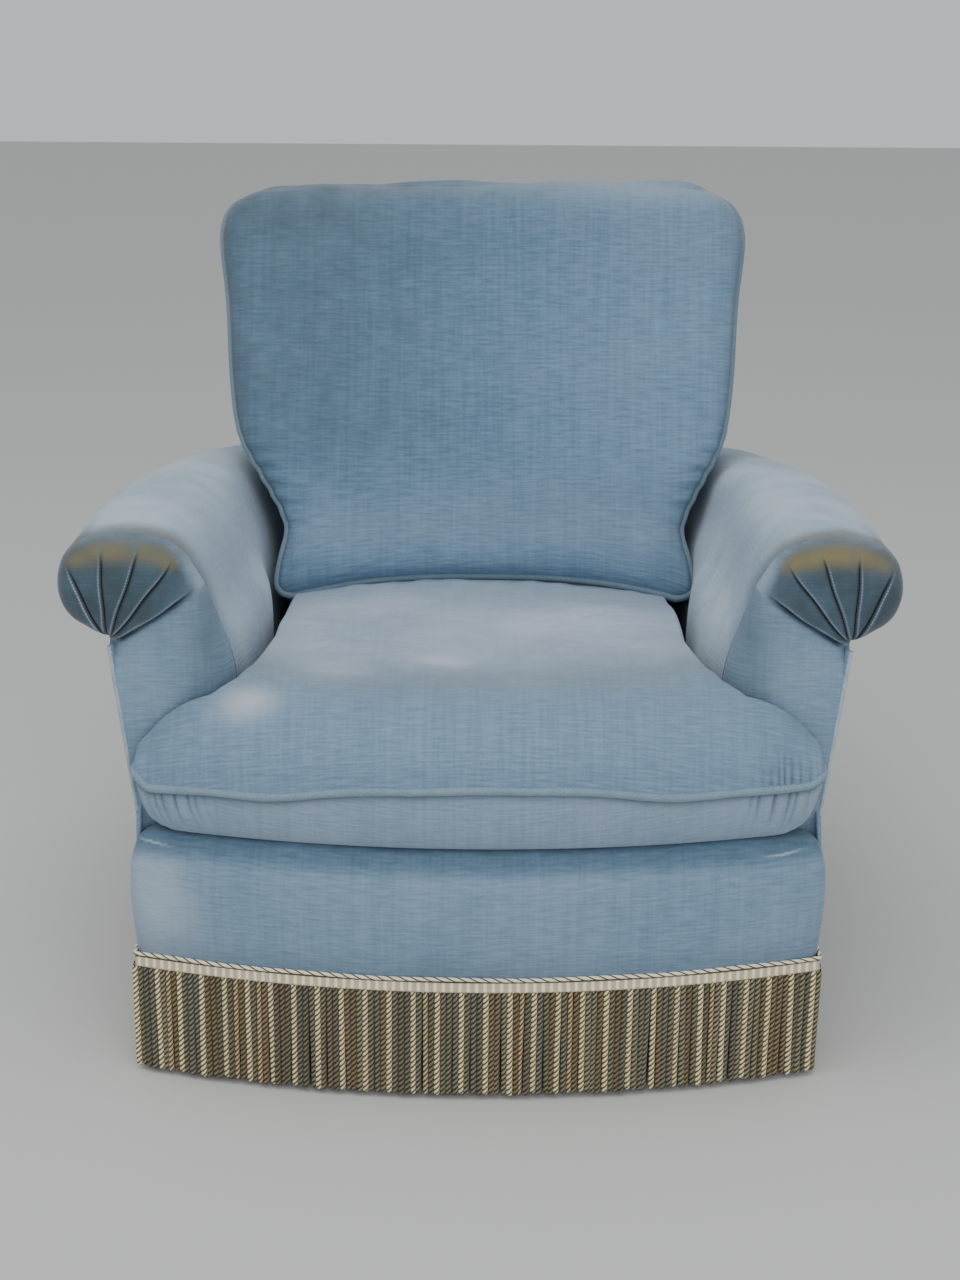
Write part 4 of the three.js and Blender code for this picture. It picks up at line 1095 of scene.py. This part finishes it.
# %% The line that the fringe follows
def fringe_plan(out):
    """Anticlockwise round the chair from the front right corner, this far outside the cover."""
    half = BASE_HALF + out
    front_x = np.linspace(-half, half, 80)
    front = np.stack([front_x, FRONT + COVER_INSET - out + bow_at(front_x)], axis=1)
    y = np.linspace(front[-1, 1], BACK_REAR + out, 60)[1:]
    side_x, _ = drawn_in(np.full_like(y, half), y, np.full_like(y, 0.1))
    right = np.stack([side_x, y], axis=1)
    left = (right * [-1, 1])[::-1]
    rear_x = np.linspace(right[-1, 0], left[0, 0], 50)[1:-1]
    rear = np.stack([rear_x, np.full_like(rear_x, BACK_REAR + out)], axis=1)
    line = np.vstack([front, right, rear, left])
    return np.vstack([line, line[:1]])


def around(out, count):
    """This many evenly spaced places along that line."""
    return respaced(fringe_plan(out), np.linspace(0, 1, count + 1))[:-1]


# %% Heading
cord_path = around(0.0036, 900)
cord_path = np.column_stack([cord_path, 0.1443 + 0.0004 * np.sin(np.arange(900) * 0.13)])
rings, ring_cloth = tube(cord_path, 0.0022, np.array([0.0, 0.0, 1.0]), sides=8, closed=True)
cream = np.array([*linear("#eee4c9")[:3], 1.0])
heading = mesh_of("heading_cord", [(rings, ring_cloth, cream)], HEADING_CORD)
belongs(heading, "fringe")

BAND_FOOT = 0.1280
BAND_DEPTH = 0.0160
band_plan = respaced(fringe_plan(0.0034), np.linspace(0, 1, 901))
band_length = np.linspace(0, length_of(fringe_plan(0.0034)), 901)
profile = np.array([
    [-0.0026, 0.1440], [-0.0004, 0.1438], [0.0, 0.1425], [0.0004, 0.1380], [0.0004, 0.1330],
    [0.0010, 0.1315], [0.0012, 0.1295], [0.0, 0.1282], [-0.0026, 0.1280], [-0.0026, 0.1440]])
flat = band_plan[None] + right_of(band_plan)[None] * profile[:, None, :1]
height = np.broadcast_to(profile[:, None, 1:], flat.shape[:2] + (1,))
band = np.concatenate([flat, height], axis=-1)
up_band = (profile[:, 1:] - BAND_FOOT) / BAND_DEPTH
band_cloth = np.stack(np.broadcast_arrays(band_length[None], up_band), axis=-1)
ladder = mesh_of("fringe_heading", [(band, band_cloth, cream)], LADDER)
belongs(ladder, "fringe")

# %% Cords
rng = np.random.default_rng(7)
CORD_PITCH = 0.0064
CORD_TOP = 0.1300
CORDS_OUT = 0.0040
RING_SIDES = 8
count = 4 * int(length_of(fringe_plan(CORDS_OUT)) / CORD_PITCH / 4)
roots = around(CORDS_OUT, count)
levels = np.array([CORD_TOP, 0.1240, 0.0850, 0.0450, 0.0070, 0.0022, 0.0, 0.0])
radius = np.array([0.0028, 0.0033, 0.0034, 0.0034, 0.0036, 0.0034, 0.0022, 0.0])
sway = np.array([0.0, 0.0, 0.3, 0.7, 1.0, 1.02, 1.03, 1.03])
bottom = 0.0058 + 0.0022 * rng.random(count) ** 2
z = bottom[:, None] + (CORD_TOP - bottom)[:, None] * (levels / CORD_TOP)[None]
turn = np.linspace(0, 2 * math.pi, RING_SIDES + 1)
lean = rng.normal(0, 0.0009, (count, 2))
centre = roots[:, None, :] + lean[:, None, :] * sway[None, :, None]
size = radius[None] * rng.uniform(0.95, 1.05, count)[:, None]
tan = (rng.random(count) < 0.40) & (np.arange(count) % 4 == 2)
size[tan] *= 0.85
cord_x = centre[..., 0:1] + size[..., None] * np.cos(turn)
cord_y = centre[..., 1:2] + size[..., None] * np.sin(turn)
cord_z = np.broadcast_to(z[..., None], cord_x.shape)
cords = np.stack([cord_x, cord_y, cord_z], axis=-1)
# the dark cords' colours, set light to stand for their lit strands beside the shade painted in the
# grooves
shades = ["#7f7960", "#8f876c", "#7d7866", "#8a7759", "#736e58", "#80704f"]
dark = np.array([linear(value)[:3] for value in shades])
colour = dark[rng.integers(0, len(dark), count)]
colour[tan] = np.array(linear("#cdb281")[:3])
pale = np.arange(count) % 4 == 0
colour[pale] = np.array(linear("#fdeab2")[:3]) * rng.uniform(0.85, 1.0, (pale.sum(), 1))
start_turn = rng.uniform(0, 1, count)
cords_cloth = np.stack(np.broadcast_arrays(
    (turn / (2 * math.pi))[None, None] + start_turn[:, None, None], cord_z), axis=-1)
cord_wear = np.ones(cords.shape[:3] + (4,))
cord_wear[..., :3] = colour[:, None, None]
parts = [(cords[i], cords_cloth[i], cord_wear[i]) for i in range(count)]
fringe = mesh_of("bullion_cords", parts, CORD, weld=1e-6)
belongs(fringe, "fringe", "front_fringe", "back_fringe", "left_fringe", "right_fringe")
print(count, "cords")

# %% [markdown]
# ## Floor, light and camera
# A plain pale floor, an even sky and two broad soft lights, like a bright overcast day.

# %% Stage
floor_mesh = bpy.data.meshes.new("floor")
floor_mesh.from_pydata([(-9, -9, 0), (9, -9, 0), (9, 9, 0), (-9, 9, 0)], [], [(0, 1, 2, 3)])
floor = bpy.data.objects.new("floor", floor_mesh)
bpy.context.scene.collection.objects.link(floor)
floor_material, _, _ = new_material("pale matt floor", roughness=0.9, base_color=linear("#c9c7c2"))
floor_mesh.materials.append(floor_material)

world = bpy.data.worlds.new("overcast")
world.use_nodes = True
world.node_tree.nodes["Background"].inputs["Color"].default_value = linear("#e9eef4")
world.node_tree.nodes["Background"].inputs["Strength"].default_value = 0.75
bpy.context.scene.world = world


def area_light(name, place, aim, size, power, colour):
    """A square light at this place, turned to face the aim."""
    data = bpy.data.lights.new(name, "AREA")
    data.shape = "SQUARE"
    data.size = size
    data.energy = power
    data.color = linear(colour)[:3]
    made = bpy.data.objects.new(name, data)
    made.location = place
    direction = np.array(aim, float) - np.array(place, float)
    flat_length = math.hypot(direction[0], direction[1])
    pitch = math.atan2(flat_length, -direction[2])
    made.rotation_euler = (pitch, 0.0, math.atan2(-direction[0], direction[1]))
    bpy.context.scene.collection.objects.link(made)
    return made


area_light("sky from above", (-0.5, -0.9, 3.2), (0, 0, 0.4), 2.6, 48, "#fbfcff")
area_light("sky from the front", (0.6, -3.8, 1.7), (0, 0, 0.3), 2.8, 62, "#f6f9ff")

camera_data = bpy.data.cameras.new("camera")
camera_data.sensor_fit = "HORIZONTAL"
camera_data.sensor_width = 36.0
camera_data.lens = 77.25
camera = bpy.data.objects.new("camera", camera_data)
camera.location = (0.0, -2.36, 1.210)
camera.rotation_euler = (math.radians(70.4), math.radians(-0.38), math.radians(0.13))
bpy.context.scene.collection.objects.link(camera)
bpy.context.scene.camera = camera
